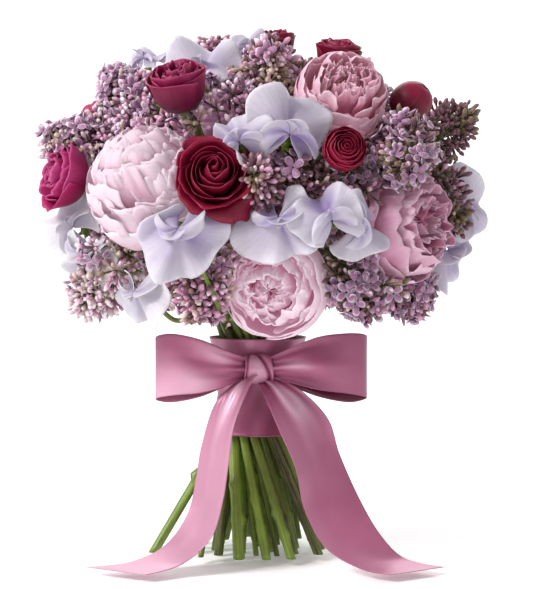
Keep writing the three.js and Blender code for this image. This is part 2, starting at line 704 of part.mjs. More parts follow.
// ---------------------------------------------------------------- sweet peas
// A bloom has a wide waved standard that opens like a fan and a folded pair of wings.
function peaPieces(bloom, seed) {
  const next = series(seed);
  const forward = facing(bloom);
  const { right, up } = sidesOf(forward);
  const { width } = bloom;
  const heart = heartOf(bloom);
  const wave = 2 * Math.PI * next();
  const place = (x, y, z) => pushOut(heart.clone()
    .addScaledVector(right, x).addScaledVector(up, y).addScaledVector(forward, z),
  headRooms, PETAL_THICKNESS / 2 + PRESS_GAP + 1.2);
  const standard = blade(6, 2, PETAL_THICKNESS, (u, v) => {
    const angle = u * rad(112);
    const notch = 0.16 * v * Math.exp(-((u / 0.2) ** 2));
    const length = width * (0.05 + 0.47 * v) * (1 - notch - 0.25 * u ** 4);
    const back = width * v * (0.08 * Math.sin(5 * u + wave) - 0.12 * v - 0.1 * u * u);
    return place(length * Math.sin(angle), length * Math.cos(angle), back);
  });
  const wings = blade(2, 2, PETAL_THICKNESS, (u, v) => {
    const angle = u * rad(42);
    const length = width * (0.04 + 0.36 * v);
    const front = 0.05 * width + 0.26 * width * v * (1 - 0.55 * Math.abs(u));
    return place(length * Math.sin(angle), length * Math.cos(angle) * 0.8, front);
  });
  return { pieces: [standard, wings], heart };
}

// A thin stalk that widens to the calyx of a bloom.
function stalk(from, heart, width) {
  const way = heart.clone().sub(from).normalize();
  return ringTube([ringAround(from, way, STALK_RADIUS, 5), ringAround(heart, way, CALYX * width, 5)]);
}

// ---------------------------------------------------------------- ribbon
// The wrap hugs the bundle, which is narrowest at the tie.
const WRAP_SIDES = 20;
function wrapInside(z) {
  const reach = Math.max(...stems.map((stem) => stem.slot.length() * spread(z) + stem.radius));
  return (reach + WRAP_CLEARANCE) / Math.cos(Math.PI / WRAP_SIDES);
}

function wrapGeometry() {
  const heights = [0, 1, 2, 3].map((k) => WRAP_BOTTOM_Z + (k * (WRAP_TOP_Z - WRAP_BOTTOM_Z)) / 3);
  const profile = [
    ...heights.map((z) => [wrapInside(z) + WRAP_THICKNESS, z]),
    ...heights.reverse().map((z) => [wrapInside(z), z]),
  ];
  const points = profile.flatMap(([radius, z]) => (
    ringAround(vec(0, 0, z), vec(0, 0, 1), radius, WRAP_SIDES)));
  const triangles = [];
  profile.forEach((_, k) => {
    const [row, nextRow] = [k * WRAP_SIDES, ((k + 1) % profile.length) * WRAP_SIDES];
    for (let i = 0; i < WRAP_SIDES; i += 1) {
      const j = (i + 1) % WRAP_SIDES;
      triangles.push([row + i, row + j, nextRow + j], [row + i, nextRow + j, nextRow + i]);
    }
  });
  return closedGeometry(points, triangles);
}

// A smooth value through a list of rows, at a share of its length.
function along(rows, share) {
  const place = clamp01(share) * (rows.length - 1);
  const k = Math.min(rows.length - 2, Math.floor(place));
  const t = place - k;
  const row = (index) => rows[Math.min(rows.length - 1, Math.max(0, index))];
  return row(k).map((_, i) => {
    const [a, b, c, d] = [row(k - 1)[i], row(k)[i], row(k + 1)[i], row(k + 2)[i]];
    return b + 0.5 * t * (c - a + t * (2 * a - 5 * b + 4 * c - d + t * (3 * (b - c) + d - a)));
  });
}

const knotY = -(wrapInside(KNOT_Z) + WRAP_THICKNESS + KNOT_SIZE[1] + SEAT_GAP);

function loopGeometry(rows) {
  return blade(2, 12, RIBBON_THICKNESS, (u, v) => {
    const [x, front, above, halfWidth] = along(rows, v);
    return vec(x, knotY - front + 1.5 * u * u, KNOT_Z + above + u * halfWidth);
  });
}

function tailGeometry(stations) {
  const rows = stations.map(([middle, edge]) => [...middle, ...edge]);
  return blade(2, 10, RIBBON_THICKNESS, (u, v) => {
    const [x, y, z, dx, dy, dz] = along(rows, v);
    return vec(x + u * dx, y + u * dy, Math.max(z + u * dz, RIBBON_THICKNESS / 2 + 0.2));
  });
}

function bowSolid() {
  const knot = new THREE.IcosahedronGeometry(1, 1);
  knot.scale(...KNOT_SIZE);
  knot.translate(0, knotY, KNOT_Z);
  return mainBody(fuse([
    knot,
    loopGeometry(LEFT_LOOP),
    loopGeometry(RIGHT_LOOP),
    tailGeometry(LEFT_TAIL),
    tailGeometry(RIGHT_TAIL),
  ]));
}

// ---------------------------------------------------------------- assembly
const flowers = new THREE.Group();
function addMesh(name, geometry, colour, roughness) {
  const material = new THREE.MeshStandardMaterial({ color: colour, roughness, metalness: 0 });
  const mesh = new THREE.Mesh(geometry, material);
  mesh.name = name;
  flowers.add(mesh);
}

PEONIES.forEach((bloom, i) => {
  addMesh(`peony_${i + 1}`, bloomGeometry(bloom, PEONY_SHAPE, 11 + i), bloom.colour, 0.62);
});
ROSES.forEach((bloom, i) => {
  addMesh(`rose_${i + 1}`, bloomGeometry(bloom, ROSE_SHAPE, 31 + i), bloom.colour, 0.58);
});
for (const stem of stems.slice(0, balls.length)) {
  addMesh(stem.name, ringTube(stemRings(stem, SEAT_GAP)), GREEN, 0.6);
}
LILACS.forEach((lilac, i) => {
  const stem = stems[balls.length + i];
  addMesh(stem.name, lilacGeometry(lilac, stem, 51 + i), LILAC_COLOUR, 0.7);
});
SWEET_PEAS.forEach((spray, i) => {
  const stem = stems[balls.length + LILACS.length + i];
  const parts = [];
  spray.forEach((bloom, k) => {
    const { pieces, heart } = peaPieces(bloom, 71 + 5 * i + k);
    parts.push(...pieces);
    if (k > 0) parts.push(stalk(stem.path[CURVE_STEPS - 1], heart, bloom.width));
  });
  parts.push(ringTube(stemRings(stem, 0)));
  addMesh(stem.name, geometryOf(mainBody(fuse(parts))), SWEET_PEA_COLOUR, 0.6);
});

addMesh('ribbon_wrap', wrapGeometry(), RIBBON_COLOUR, 0.4);
addMesh('ribbon_bow', geometryOf(bowSolid()), RIBBON_COLOUR, 0.4);

// The origin goes below the middle of the bouquet's box.
const middle = new THREE.Box3().setFromObject(flowers).getCenter(vec(0, 0, 0));
flowers.position.set(-middle.x, -middle.y, 0);

export default flowers;
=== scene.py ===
"""A hand-tied bouquet of peonies, roses, lilac and sweet peas, bound with a satin bow.

Shapes are worked out in millimetres in the drawing's own axes (+X right, -Y front, +Z up,
the tie on X = Y = 0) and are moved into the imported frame, in metres, as each mesh is made.
"""

import json
import logging
import math
from dataclasses import dataclass, field
from enum import Enum, IntEnum
from typing import Any, Callable, Iterator, Optional, Sequence, Union

import bpy
import numpy as np
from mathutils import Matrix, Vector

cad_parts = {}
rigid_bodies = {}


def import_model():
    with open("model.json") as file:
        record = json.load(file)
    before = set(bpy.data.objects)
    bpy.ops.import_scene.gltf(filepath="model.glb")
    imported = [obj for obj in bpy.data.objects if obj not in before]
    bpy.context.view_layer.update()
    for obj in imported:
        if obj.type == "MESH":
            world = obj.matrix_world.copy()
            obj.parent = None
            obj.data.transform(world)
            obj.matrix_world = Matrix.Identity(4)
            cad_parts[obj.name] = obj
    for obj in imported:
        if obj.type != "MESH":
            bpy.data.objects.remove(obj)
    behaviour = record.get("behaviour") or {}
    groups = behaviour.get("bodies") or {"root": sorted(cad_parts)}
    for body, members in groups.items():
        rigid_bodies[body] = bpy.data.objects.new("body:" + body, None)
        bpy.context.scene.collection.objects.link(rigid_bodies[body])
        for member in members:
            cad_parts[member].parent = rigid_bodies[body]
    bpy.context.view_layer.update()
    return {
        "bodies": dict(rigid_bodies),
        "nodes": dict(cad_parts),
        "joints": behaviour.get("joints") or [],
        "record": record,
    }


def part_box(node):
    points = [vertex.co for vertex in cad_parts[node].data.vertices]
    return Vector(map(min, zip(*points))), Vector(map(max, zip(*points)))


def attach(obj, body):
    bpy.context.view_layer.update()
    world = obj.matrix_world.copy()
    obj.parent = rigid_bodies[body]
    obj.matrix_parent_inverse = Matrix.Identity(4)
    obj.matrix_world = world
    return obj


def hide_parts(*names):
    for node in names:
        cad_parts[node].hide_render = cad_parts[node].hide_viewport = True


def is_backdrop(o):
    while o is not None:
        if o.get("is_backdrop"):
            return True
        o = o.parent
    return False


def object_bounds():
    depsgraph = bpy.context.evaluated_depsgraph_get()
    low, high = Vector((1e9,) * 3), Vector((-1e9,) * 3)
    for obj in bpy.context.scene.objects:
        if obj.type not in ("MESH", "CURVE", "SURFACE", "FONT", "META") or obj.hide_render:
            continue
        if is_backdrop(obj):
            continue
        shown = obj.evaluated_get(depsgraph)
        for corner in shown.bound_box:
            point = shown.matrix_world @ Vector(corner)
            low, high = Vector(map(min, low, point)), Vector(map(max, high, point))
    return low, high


log = logging.getLogger("bouquet")
Array = np.ndarray
Triple = tuple[float, float, float]
Random = np.random.Generator
Materials = Sequence[bpy.types.Material]

PHOTO_SCALE = 0.75          # mm to a pixel of the picture, in the plane of the tie
PHOTO_WIDTH = 533
CAMERA_AWAY = 1050.0        # mm from the tie
EYE = (6.4, -CAMERA_AWAY, 219.0)
AIM = (6.4, 0.0, 188.6)
BLOOM_BASE = 0.86           # depth of a bloom's base behind its middle, in radii
BALL_ROOM = 1.05            # how far a bloom's petals may reach, in radii
PRESS_GAP = 0.4             # mm between flowers that press on each other
GOLDEN_TURN = math.pi * (3.0 - math.sqrt(5.0))
FLOOR_TOUCH = 0.05          # mm above the floor that still counts as on it
MERGE_STEPS = 50            # steps to a millimetre in which a node's points are merged
PETAL, ROSE_PETAL, PEA_PETAL, LEAF = 0.5, 0.6, 0.4, 0.4     # thicknesses in mm
PEONY_STEM, ROSE_STEM, LILAC_STEM, SWEET_PEA_STEM = 4.3, 3.25, 3.4, 2.0     # radii in mm
PEONY_SEED, ROSE_SEED, LILAC_SEED, SWEET_PEA_SEED, SIDE_SEED = 100, 200, 300, 400, 500


# ---- numbers and directions
def unit(vectors: Array) -> Array:
    """Vectors cut to length one along their last axis."""
    length = np.linalg.norm(vectors, axis=-1, keepdims=True)
    return vectors / np.maximum(length, 1e-9)


def facing(turn: float, lift: float) -> Array:
    """The direction turned from the front towards the right, then lifted, in degrees."""
    t, l = math.radians(turn), math.radians(lift)
    return np.array([math.sin(t) * math.cos(l), -math.cos(t) * math.cos(l), math.sin(l)])


def axes_of(forward: Array) -> Array:
    """Rows right, up and forward of a flower that faces forward, for one or many flowers.

    Args:
        forward: directions, shape (..., 3).

    Returns:
        Right-handed axes as rows, shape (..., 3, 3).
    """
    flat = np.abs(forward[..., 2:3]) > 0.999
    pole = np.where(flat, np.array([0.0, 1.0, 0.0]), np.array([0.0, 0.0, 1.0]))
    right = unit(np.cross(pole, forward))
    return np.stack([right, np.cross(forward, right), forward], axis=-2)


def spun(axes: Array, angle: Union[float, Array]) -> Array:
    """Axes rolled about their forward row by an angle in radians."""
    c, s = np.cos(angle), np.sin(angle)
    c, s = np.asarray(c)[..., None], np.asarray(s)[..., None]
    right, up, forward = axes[..., 0, :], axes[..., 1, :], axes[..., 2, :]
    return np.stack([c * right + s * up, c * up - s * right, forward], axis=-2)


def xyz(x: Any, y: Any, z: Any) -> Array:
    """Points from three arrays that broadcast together."""
    return np.stack(np.broadcast_arrays(x, y, z), axis=-1)


def shares(rows: int, columns: int) -> tuple[Array, Array]:
    """Places on a sheet: -1 to 1 across its columns, and 0 to 1 along its rows."""
    return np.linspace(-1, 1, columns)[None], np.linspace(0, 1, rows)[:, None]


def around(turn: Array, out: Array, side: Array, high: Array) -> Array:
    """Points so far out at a turn about the axis, so far to its side and so high."""
    c, s = np.cos(turn), np.sin(turn)
    return xyz(out * c - side * s, out * s + side * c, high)


def smooth(x: Array) -> Array:
    """0 below 0, 1 above 1 and a soft step between."""
    x = np.clip(x, 0.0, 1.0)
    return x * x * (3.0 - 2.0 * x)


def bezier(a: Array, b: Array, c: Array, d: Array, t: Array) -> Array:
    """A cubic Bezier curve: (1-t)^3 a + 3(1-t)^2 t b + 3(1-t) t^2 c + t^3 d."""
    s = 1.0 - t
    return s**3 * a + 3 * s * s * t * b + 3 * s * t * t * c + t**3 * d


def through(rows: Array, share: Array) -> Array:
    """A Catmull-Rom curve through rows of numbers, at shares of its length."""
    last = len(rows) - 1
    place = np.clip(share, 0.0, 1.0) * last
    k = np.minimum(np.floor(place).astype(int), last - 1)
    t = (place - k)[..., None]
    a, b = rows[np.maximum(k - 1, 0)], rows[k]
    c, d = rows[k + 1], rows[np.minimum(k + 2, last)]
    return b + 0.5 * t * (c - a + t * (2 * a - 5 * b + 4 * c - d + t * (3 * (b - c) + d - a)))


# ---- meshes
@dataclass
class Body:
    """A mesh that grows patch by patch, in millimetres, and is made into one piece."""

    points: list[Array] = field(default_factory=list)
    faces: list[tuple[Array, Array, int]] = field(default_factory=list)
    marks: list[Array] = field(default_factory=list)
    size: int = 0

    def add(self, points: Array, faces: Sequence[Array], material: int = 0,
            along: Any = 0.0, across: Any = 0.0, tone: Any = 0.5,
            flat: Sequence[bool] = ()) -> None:
        """Adds a patch.

        Args:
            points: its points, any shape that ends in 3.
            faces: arrays of triangles or of quads that index the points.
            material: which of the piece's materials it wears.
            along: share from base to rim, read by the materials.
            across: share from one edge to the other, -1 to 1.
            tone: a number for the petal or bud as a whole.
            flat: for each array of faces, whether it is shaded flat.
        """
        shape = points.shape[:-1]
        flat = flat or [False] * len(faces)
        for corners, plain in zip(faces, flat):
            self.faces.append((corners.reshape(-1, corners.shape[-1]) + self.size,
                               np.full(corners.size // corners.shape[-1], plain), material))
        marks = [np.broadcast_to(np.asarray(m, float), shape).ravel()
                 for m in (along, across, tone)]
        self.points.append(points.reshape(-1, 3))
        self.marks.append(np.stack(marks))
        self.size += self.points[-1].shape[0]

    def build(self, name: str, materials: Materials) -> bpy.types.Object:
        """Makes the piece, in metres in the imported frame.

        Args:
            name: the piece's name.
            materials: its materials, in the order the patches name them.

        Returns:
            The new object, whose place is in its mesh.
        """
        points = (np.concatenate(self.points) + Layout.offset) / 1000.0
        corners = np.concatenate([f.ravel() for f, _, _ in self.faces])
        counts = np.concatenate([np.full(len(f), f.shape[1]) for f, _, _ in self.faces])
        sharp = np.concatenate([s for _, s, _ in self.faces])
        slots = np.concatenate([np.full(len(f), m) for f, _, m in self.faces])
        mesh = bpy.data.meshes.new(name)
        mesh.vertices.add(len(points))
        mesh.vertices.foreach_set("co", points.astype(np.float32).ravel())
        mesh.loops.add(len(corners))
        mesh.loops.foreach_set("vertex_index", corners.astype(np.int32))
        mesh.polygons.add(len(counts))
        starts = np.concatenate([[0], np.cumsum(counts)[:-1]])
        mesh.polygons.foreach_set("loop_start", starts.astype(np.int32))
        mesh.update(calc_edges=True)
        mesh.polygons.foreach_set("material_index", slots.astype(np.int32))
        mesh.attributes.new("sharp_face", "BOOLEAN", "FACE").data.foreach_set("value", sharp)
        for label, values in zip(("along", "across", "tone"), np.concatenate(self.marks, axis=1)):
            mark = mesh.attributes.new(label, "FLOAT", "POINT")
            mark.data.foreach_set("value", values.astype(np.float32))
        for material in materials:
            mesh.materials.append(material)
        mesh.validate()
        piece = bpy.data.objects.new(name, mesh)
        bpy.context.scene.collection.objects.link(piece)
        return piece


def grid_faces(rows: int, columns: int, closed: bool = False) -> Array:
    """Quads of a grid of rows by columns of points; closed joins the last column to the first."""
    j, i = np.meshgrid(np.arange(rows - 1), np.arange(columns if closed else columns - 1),
                       indexing="ij")
    k = (i + 1) % columns
    return np.stack([j * columns + i, j * columns + k, (j + 1) * columns + k,
                     (j + 1) * columns + i], axis=-1).reshape(-1, 4)


def fan_faces(ring: Array, pole: int, back: bool = False) -> Array:
    """Triangles from a closed ring of points to a pole; back turns them over."""
    following = np.roll(ring, -1)
    pair = (following, ring) if back else (ring, following)
    return np.stack([*pair, np.full(len(ring), pole)], axis=-1)


def barrel_faces(rings: int, sides: int) -> tuple[Array, Array, Array]:
    """Walls, first end and last end of rings of points that two poles follow."""
    ring = np.arange(sides)
    return (grid_faces(rings, sides, closed=True), fan_faces(ring, rings * sides, back=True),
            fan_faces(ring + (rings - 1) * sides, rings * sides + 1))


def blade_faces(rows: int, columns: int) -> tuple[Array, Array]:
    """Faces of a thin blade: its front and back sheets, and the strip round its rim."""
    front = grid_faces(rows, columns)
    half = rows * columns
    back = front[:, ::-1] + half
    i, j = np.arange(columns), np.arange(rows)
    border = np.concatenate([i[:-1], j[:-1] * columns + columns - 1,
                             (rows - 1) * columns + i[:0:-1], j[:0:-1] * columns])
    following = np.roll(border, -1)
    rim = np.stack([border, border + half, following + half, following], axis=-1)
    return np.concatenate([front, back]), rim


def normals_of(sheet: Array) -> Array:
    """Unit normals of sheets of points (..., rows, columns, 3), along columns x rows."""
    return unit(np.cross(np.gradient(sheet, axis=-2), np.gradient(sheet, axis=-3)))


def add_blades(body: Body, sheets: Array, thickness: float, material: int,
               tone: Any, rim_share: float = 0.35) -> None:
    """Adds closed blades about middle sheets; the thickness thins to a share at the rim.

    Args:
        body: the mesh that grows.
        sheets: middle surfaces, shape (petals, rows, columns, 3).
        thickness: in mm, at the middle of a petal.
        material: which material the blades wear.
        tone: one number for each petal, or for each of its points.
        rim_share: how much of the thickness is left at the rim.
    """
    petals, rows, columns, _ = sheets.shape
    u, v = shares(rows, columns)
    thin = 1 - (1 - rim_share) * np.maximum(np.abs(u) ** 5, v**5)
    half = 0.5 * thickness * thin[..., None] * normals_of(sheets)
    points = np.stack([sheets + half, sheets - half], axis=1)
    main, rim = blade_faces(rows, columns)
    step = (np.arange(petals) * 2 * rows * columns)[:, None, None]
    body.add(points, [main[None] + step, rim[None] + step], material,
             along=v[None, None], across=u[None, None],
             tone=tone if np.ndim(tone) > 1 else np.asarray(tone)[:, None, None, None],
             flat=[False, True])


def add_tube(body: Body, path: Array, radius: Array, sides: int, material: int,
             cap_material: Optional[int] = None, bump: Union[float, Array] = 0.0,
             tone: float = 0.5) -> None:
    """Adds a closed round tube along a path; where it starts on the floor its end is level.

    Args:
        body: the mesh that grows.
        path: points of its middle, shape (rings, 3).
        radius: a radius for each ring.
        sides: points round a ring.
        material: which material the wall wears.
        cap_material: what the first end wears, or None for the wall's.
        bump: added to the radius, shape (rings, sides).
        tone: a number for the tube as a whole.
    """
    tangent = unit(np.gradient(path, axis=0))
    right = unit(np.cross(tangent, np.array([0.0, 1.0, 0.0])))
    up = np.cross(right, tangent)
    turn = np.linspace(0, 2 * math.pi, sides, endpoint=False)[None, :, None]
    reach = (radius[:, None] + bump)[..., None]
    rings = path[:, None] + reach * (np.cos(turn) * right[:, None] - np.sin(turn) * up[:, None])
    if abs(path[0, 2]) < 0.01:
        rings[0] -= tangent[0] * (rings[0, :, 2:] / tangent[0, 2])
    across, share = shares(len(path), sides)
    points = np.concatenate([rings.reshape(-1, 3), path[:1], path[-1:]])
    walls, first, last = barrel_faces(len(path), sides)
    marks = [np.concatenate([np.broadcast_to(m, (len(path), sides)).ravel(), [0.0, 1.0]])
             for m in (share, across)]
    body.add(points, [walls, last], material, along=marks[0], across=marks[1], tone=tone,
             flat=[False, True])
    slot = material if cap_material is None else cap_material
    body.faces.append((first + body.size - len(points), np.ones(sides, bool), slot))


def add_rods(body: Body, start: Array, end: Array, thick: Array, thin: Array,
             material: int, tone: Any = 0.5) -> None:
    """Adds many straight three-sided rods, closed at both ends.

    Args:
        body: the mesh that grows.
        start: where each starts, shape (rods, 3).
        end: where each ends.
        thick: radius at the start.
        thin: radius at the end.
        material: which material they wear.
        tone: a number for each rod, or for all.
    """
    axes = axes_of(unit(end - start))
    turn = np.arange(3) * 2 * math.pi / 3
    ring = (np.cos(turn)[None, :, None] * axes[:, None, 0]
            + np.sin(turn)[None, :, None] * axes[:, None, 1])
    thick, thin = (np.broadcast_to(np.asarray(r, float), len(start))[:, None, None]
                   for r in (thick, thin))
    points = np.stack([start[:, None] + thick * ring, end[:, None] + thin * ring], axis=1)
    step = (np.arange(len(start)) * 6)[:, None, None]
    walls = np.array([[0, 1, 4, 3], [1, 2, 5, 4], [2, 0, 3, 5]])[None] + step
    ends = np.array([[0, 2, 1], [3, 4, 5]])[None] + step
    tone = np.broadcast_to(np.asarray(tone, float), len(start))[:, None, None]
    body.add(points, [walls, ends], material, along=np.array([0.0, 1.0])[None, :, None],
             tone=tone)


@dataclass(frozen=True)
class Stamp:
    """A small closed shape that is repeated: its points, its faces and their shading marks."""

    points: Array
    faces: tuple[Array, ...]
    along: Array

    def add_to(self, body: Body, at: Array, axes: Array, size: Array, material: int,
               tone: Array) -> None:
        """Adds a copy at each place, turned so that its z runs along the forward axis.

        Args:
            body: the mesh that grows.
            at: places, shape (copies, 3).
            axes: rows right, up, forward, shape (copies, 3, 3).
            size: a scale for each copy.
            material: which material they wear.
            tone: a number for each copy.
        """
        local = self.points[None] * size[:, None, None]
        points = at[:, None] + np.einsum("npk,nkc->npc", local, axes)
        step = (np.arange(len(at)) * len(self.points))[:, None, None]
        body.add(points, [f[None] + step for f in self.faces], material,
                 along=self.along[None], tone=tone[:, None])


def lathe_stamp(profile: Sequence[tuple[float, float]], sides: int) -> Stamp:
    """A closed turned shape from (height, radius) pairs, with a pole at each end."""
    heights, radii = np.array(profile).T
    turn = np.linspace(0, 2 * math.pi, sides, endpoint=False)[None]
    rings = xyz(radii[:, None] * np.cos(turn), radii[:, None] * np.sin(turn), heights[:, None])
    poles = np.array([[0, 0, heights[0]], [0, 0, heights[-1] + 0.25 * radii[-1]]])
    points = np.concatenate([rings.reshape(-1, 3), poles])
    walls, *ends = barrel_faces(len(profile), sides)
    along = (points[:, 2] - heights[0]) / np.ptp(heights)
    return Stamp(points, (walls, np.concatenate(ends)), along)


def open_floret_stamp() -> Stamp:
    """A lilac floret of four cupped petals on a slender tube.

    Each petal is a closed lens: an outline of seven points that rises towards its tip,
    a hollow middle in front and a low middle behind.
    """
    outline = np.array([[0.10, 0.16], [0.42, 0.30], [0.80, 0.33], [1.05, 0.17],
                        [1.05, -0.17], [0.80, -0.33], [0.42, -0.30], [0.10, -0.16]])
    rise = 0.22 * outline[:, 0] ** 2 + 0.16
    ring = np.column_stack([outline, rise])
    middles = np.array([[0.62, 0.0, 0.10], [0.60, 0.0, 0.02]])
    petal = np.concatenate([ring, middles])
    k, n = np.arange(len(ring)), len(ring)
    sides = np.concatenate([fan_faces(k, n, back=True), fan_faces(k, n + 1)])
    points, faces, along = [], [], []
    for quarter in range(4):
        turn = quarter * math.pi / 2
        spin = np.array([[math.cos(turn), math.sin(turn), 0],
                         [-math.sin(turn), math.cos(turn), 0], [0, 0, 1]])
        faces.append(sides + len(petal) * quarter)
        points.append(petal @ spin)
        along.append(np.concatenate([outline[:, 0] ** 2 * 0.2 + 0.8, [0.35, 0.3]]))
    tube = lathe_stamp([(-1.5, 0.06), (-0.9, 0.11), (0.08, 0.15)], 4)
    points.append(tube.points)
    along.append(np.full(len(tube.points), 0.15))
    start = 4 * len(petal)
    return Stamp(np.concatenate(points),
                 (np.concatenate([*faces, tube.faces[1] + start]), tube.faces[0] + start),
                 np.concatenate(along))


# ---- shader maths
class Tree:
    """A material's node tree with one way to add a node."""

    def __init__(self, name: str) -> None:
        """Starts an empty tree for a named material."""
        self.material = bpy.data.materials.new(name)
        self.material.use_nodes = True
        self.nodes = self.material.node_tree.nodes
        self.nodes.clear()

    def node(self, kind: str, inputs: dict[Any, Any], out: Any = 0, **settings: Any) -> "Value":
        """Adds a node.

        Args:
            kind: the node's type.
            inputs: a value or a Value for each socket, by name or number.
            out: the output that is returned.
            **settings: the node's own settings, set before its sockets.

        Returns:
            The output wrapped for maths.
        """
        node = self.nodes.new(kind)
        for key, setting in settings.items():
            setattr(node, key, setting)
        for socket, given in inputs.items():
            self.feed(node.inputs[socket], given)
        return Value(self, node.outputs[out])

    def feed(self, socket: bpy.types.NodeSocket, given: Any) -> None:
        """Links a Value to a socket, or sets the socket's own value or colour code."""
        if isinstance(given, Value):
            self.material.node_tree.links.new(given.socket, socket)
        else:
            socket.default_value = (*srgb(given), 1.0) if isinstance(given, str) else given

    def marks(self, *labels: str) -> Iterator["Value"]:
        """Numbers that the mesh carries at each point."""
        return (self.node("ShaderNodeAttribute", {}, out="Fac", attribute_name=label)
                for label in labels)

    def place(self) -> "Value":
        """Object coordinates."""
        return self.node("ShaderNodeTexCoord", {}, out="Object")

    def blend(self, factor: Any, first: Any, second: Any) -> "Value":
        """Mixes two colours by a factor."""
        return self.node("ShaderNodeMix", {0: factor, 6: first, 7: second}, out=2,
                         data_type="RGBA")

    def noise(self, where: "Value", scale: float, detail: float = 2.0,
              rough: float = 0.5) -> "Value":
        """Smooth noise about 0.5."""
        return self.node("ShaderNodeTexNoise", {"Vector": where, "Scale": scale,
                                                "Detail": detail, "Roughness": rough})

    def bump(self, height: "Value", distance: float, strength: float = 1.0) -> "Value":
        """A bump in metres."""
        return self.node("ShaderNodeBump", {"Height": height, "Distance": distance,
                                            "Strength": strength}, out="Normal")

    def combine(self, x: Any, y: Any, z: Any) -> "Value":
        """A vector from three numbers."""
        return self.node("ShaderNodeCombineXYZ", {0: x, 1: y, 2: z})

    def surface(self, **sockets: Any) -> bpy.types.Material:
        """Ends the tree with a principled surface; underscores stand for spaces."""
        shader = self.node("ShaderNodeBsdfPrincipled",
                           {key.replace("_", " "): value for key, value in sockets.items()})
        end = self.nodes.new("ShaderNodeOutputMaterial")
        self.feed(end.inputs["Surface"], shader)
        return self.material


def operator(operation: str, reflected: bool = False) -> Callable[["Value", Any], "Value"]:
    """The method of a Value that puts it and another number through one Math node."""
    def method(self: "Value", other: Any) -> "Value":
        """One Math node on the two numbers, in their order."""
        return self.maths(operation, *((other, self) if reflected else (self, other)))
    return method


class Value:
    """A node's output, with arithmetic that adds Math nodes."""

    def __init__(self, tree: Tree, socket: Optional[bpy.types.NodeSocket]) -> None:
        """Wraps a socket of a tree."""
        self.tree, self.socket = tree, socket

    def maths(self, operation: str, *numbers: Any) -> "Value":
        """One Math node on these numbers."""
        return self.tree.node("ShaderNodeMath", dict(enumerate(numbers)), operation=operation)

    __add__, __radd__ = operator("ADD"), operator("ADD", reflected=True)
    __sub__, __rsub__ = operator("SUBTRACT"), operator("SUBTRACT", reflected=True)
    __mul__, __rmul__ = operator("MULTIPLY"), operator("MULTIPLY", reflected=True)
    __pow__ = operator("POWER")

    def clipped(self) -> "Value":
        """Kept from 0 to 1."""
        return self.tree.node("ShaderNodeClamp", {0: self})

    def size(self) -> "Value":
        """Absolute value."""
        return self.maths("ABSOLUTE", self)

    def sine(self) -> "Value":
        """Sine."""
        return self.maths("SINE", self)

    def step(self, low: float, high: float) -> "Value":
        """A soft step from 0 at low to 1 at high."""
        return self.tree.node("ShaderNodeMapRange", {0: self, 1: low, 2: high, 3: 0.0, 4: 1.0},
                              interpolation_type="SMOOTHSTEP")


def srgb(code: str) -> Triple:
    """A linear colour from its six-digit code."""
    parts = [int(code[i:i + 2], 16) / 255 for i in (0, 2, 4)]
    return tuple(((c + 0.055) / 1.055) ** 2.4 if c > 0.04 else c / 12.92 for c in parts)


# ---- finishes
@dataclass(frozen=True)
class PetalFinish:
    """A soft petal: deep at its base, pale at its rim, with fine veins along it.

    Light that passes through the thin layers is painted as a glow of the petal's own
    colour, which also lifts the shade in the gaps between petals; what glows is taken
    from what the surface throws back.
    """

    name: str
    base: str
    body: str
    rim: str
    fleck: str
    flecks: float = 0.0
    glow: float = 0.3
    sheen: float = 0.15
    rough: float = 0.6
    vein: float = 0.12
    depth: float = 0.0015

    def material(self) -> bpy.types.Material:
        """Builds the material from the petal's own marks."""
        tree = Tree(self.name)
        along, across, tone = tree.marks("along", "across", "tone")
        where = tree.place()
        cloud = tree.noise(where, 90.0, 3.0)
        fine = tree.noise(tree.combine(across * 26.0 + tone * 40.0, along * 2.2, tone * 9.0),
                          1.0, 3.0, 0.6)
        colour = tree.blend((along * 2.0 + cloud * 0.6 - 0.95).clipped(), self.base, self.body)
        colour = tree.blend(((along ** 4.0) * 0.8 + (tone - 0.5) * 0.6).clipped(),
                            colour, self.rim)
        shade = fine.step(0.35, 0.7) * self.vein
        colour = tree.blend(shade, colour, self.base)
        if self.flecks:
            spot = tree.noise(where, 170.0, 1.0).step(0.70, 0.76) * self.flecks
            colour = tree.blend(spot, colour, self.fleck)
        height = fine * 0.6 + cloud * 0.4
        # painted light: the glow adds the petal's own colour, so less colour is thrown back
        thrown = tree.blend(0.6 * self.glow, colour, "000000")
        return tree.surface(Base_Color=thrown, Roughness=fine * 0.12 + (self.rough - 0.06),
                            Normal=tree.bump(height, 0.0004, 0.6), Sheen_Weight=self.sheen,
                            Sheen_Roughness=0.45, Sheen_Tint=self.rim,
                            Subsurface_Weight=0.4, Subsurface_Radius=(1.0, 0.85, 0.9),
                            Subsurface_Scale=self.depth, Specular_IOR_Level=0.3,
                            Emission_Color=colour, Emission_Strength=self.glow)


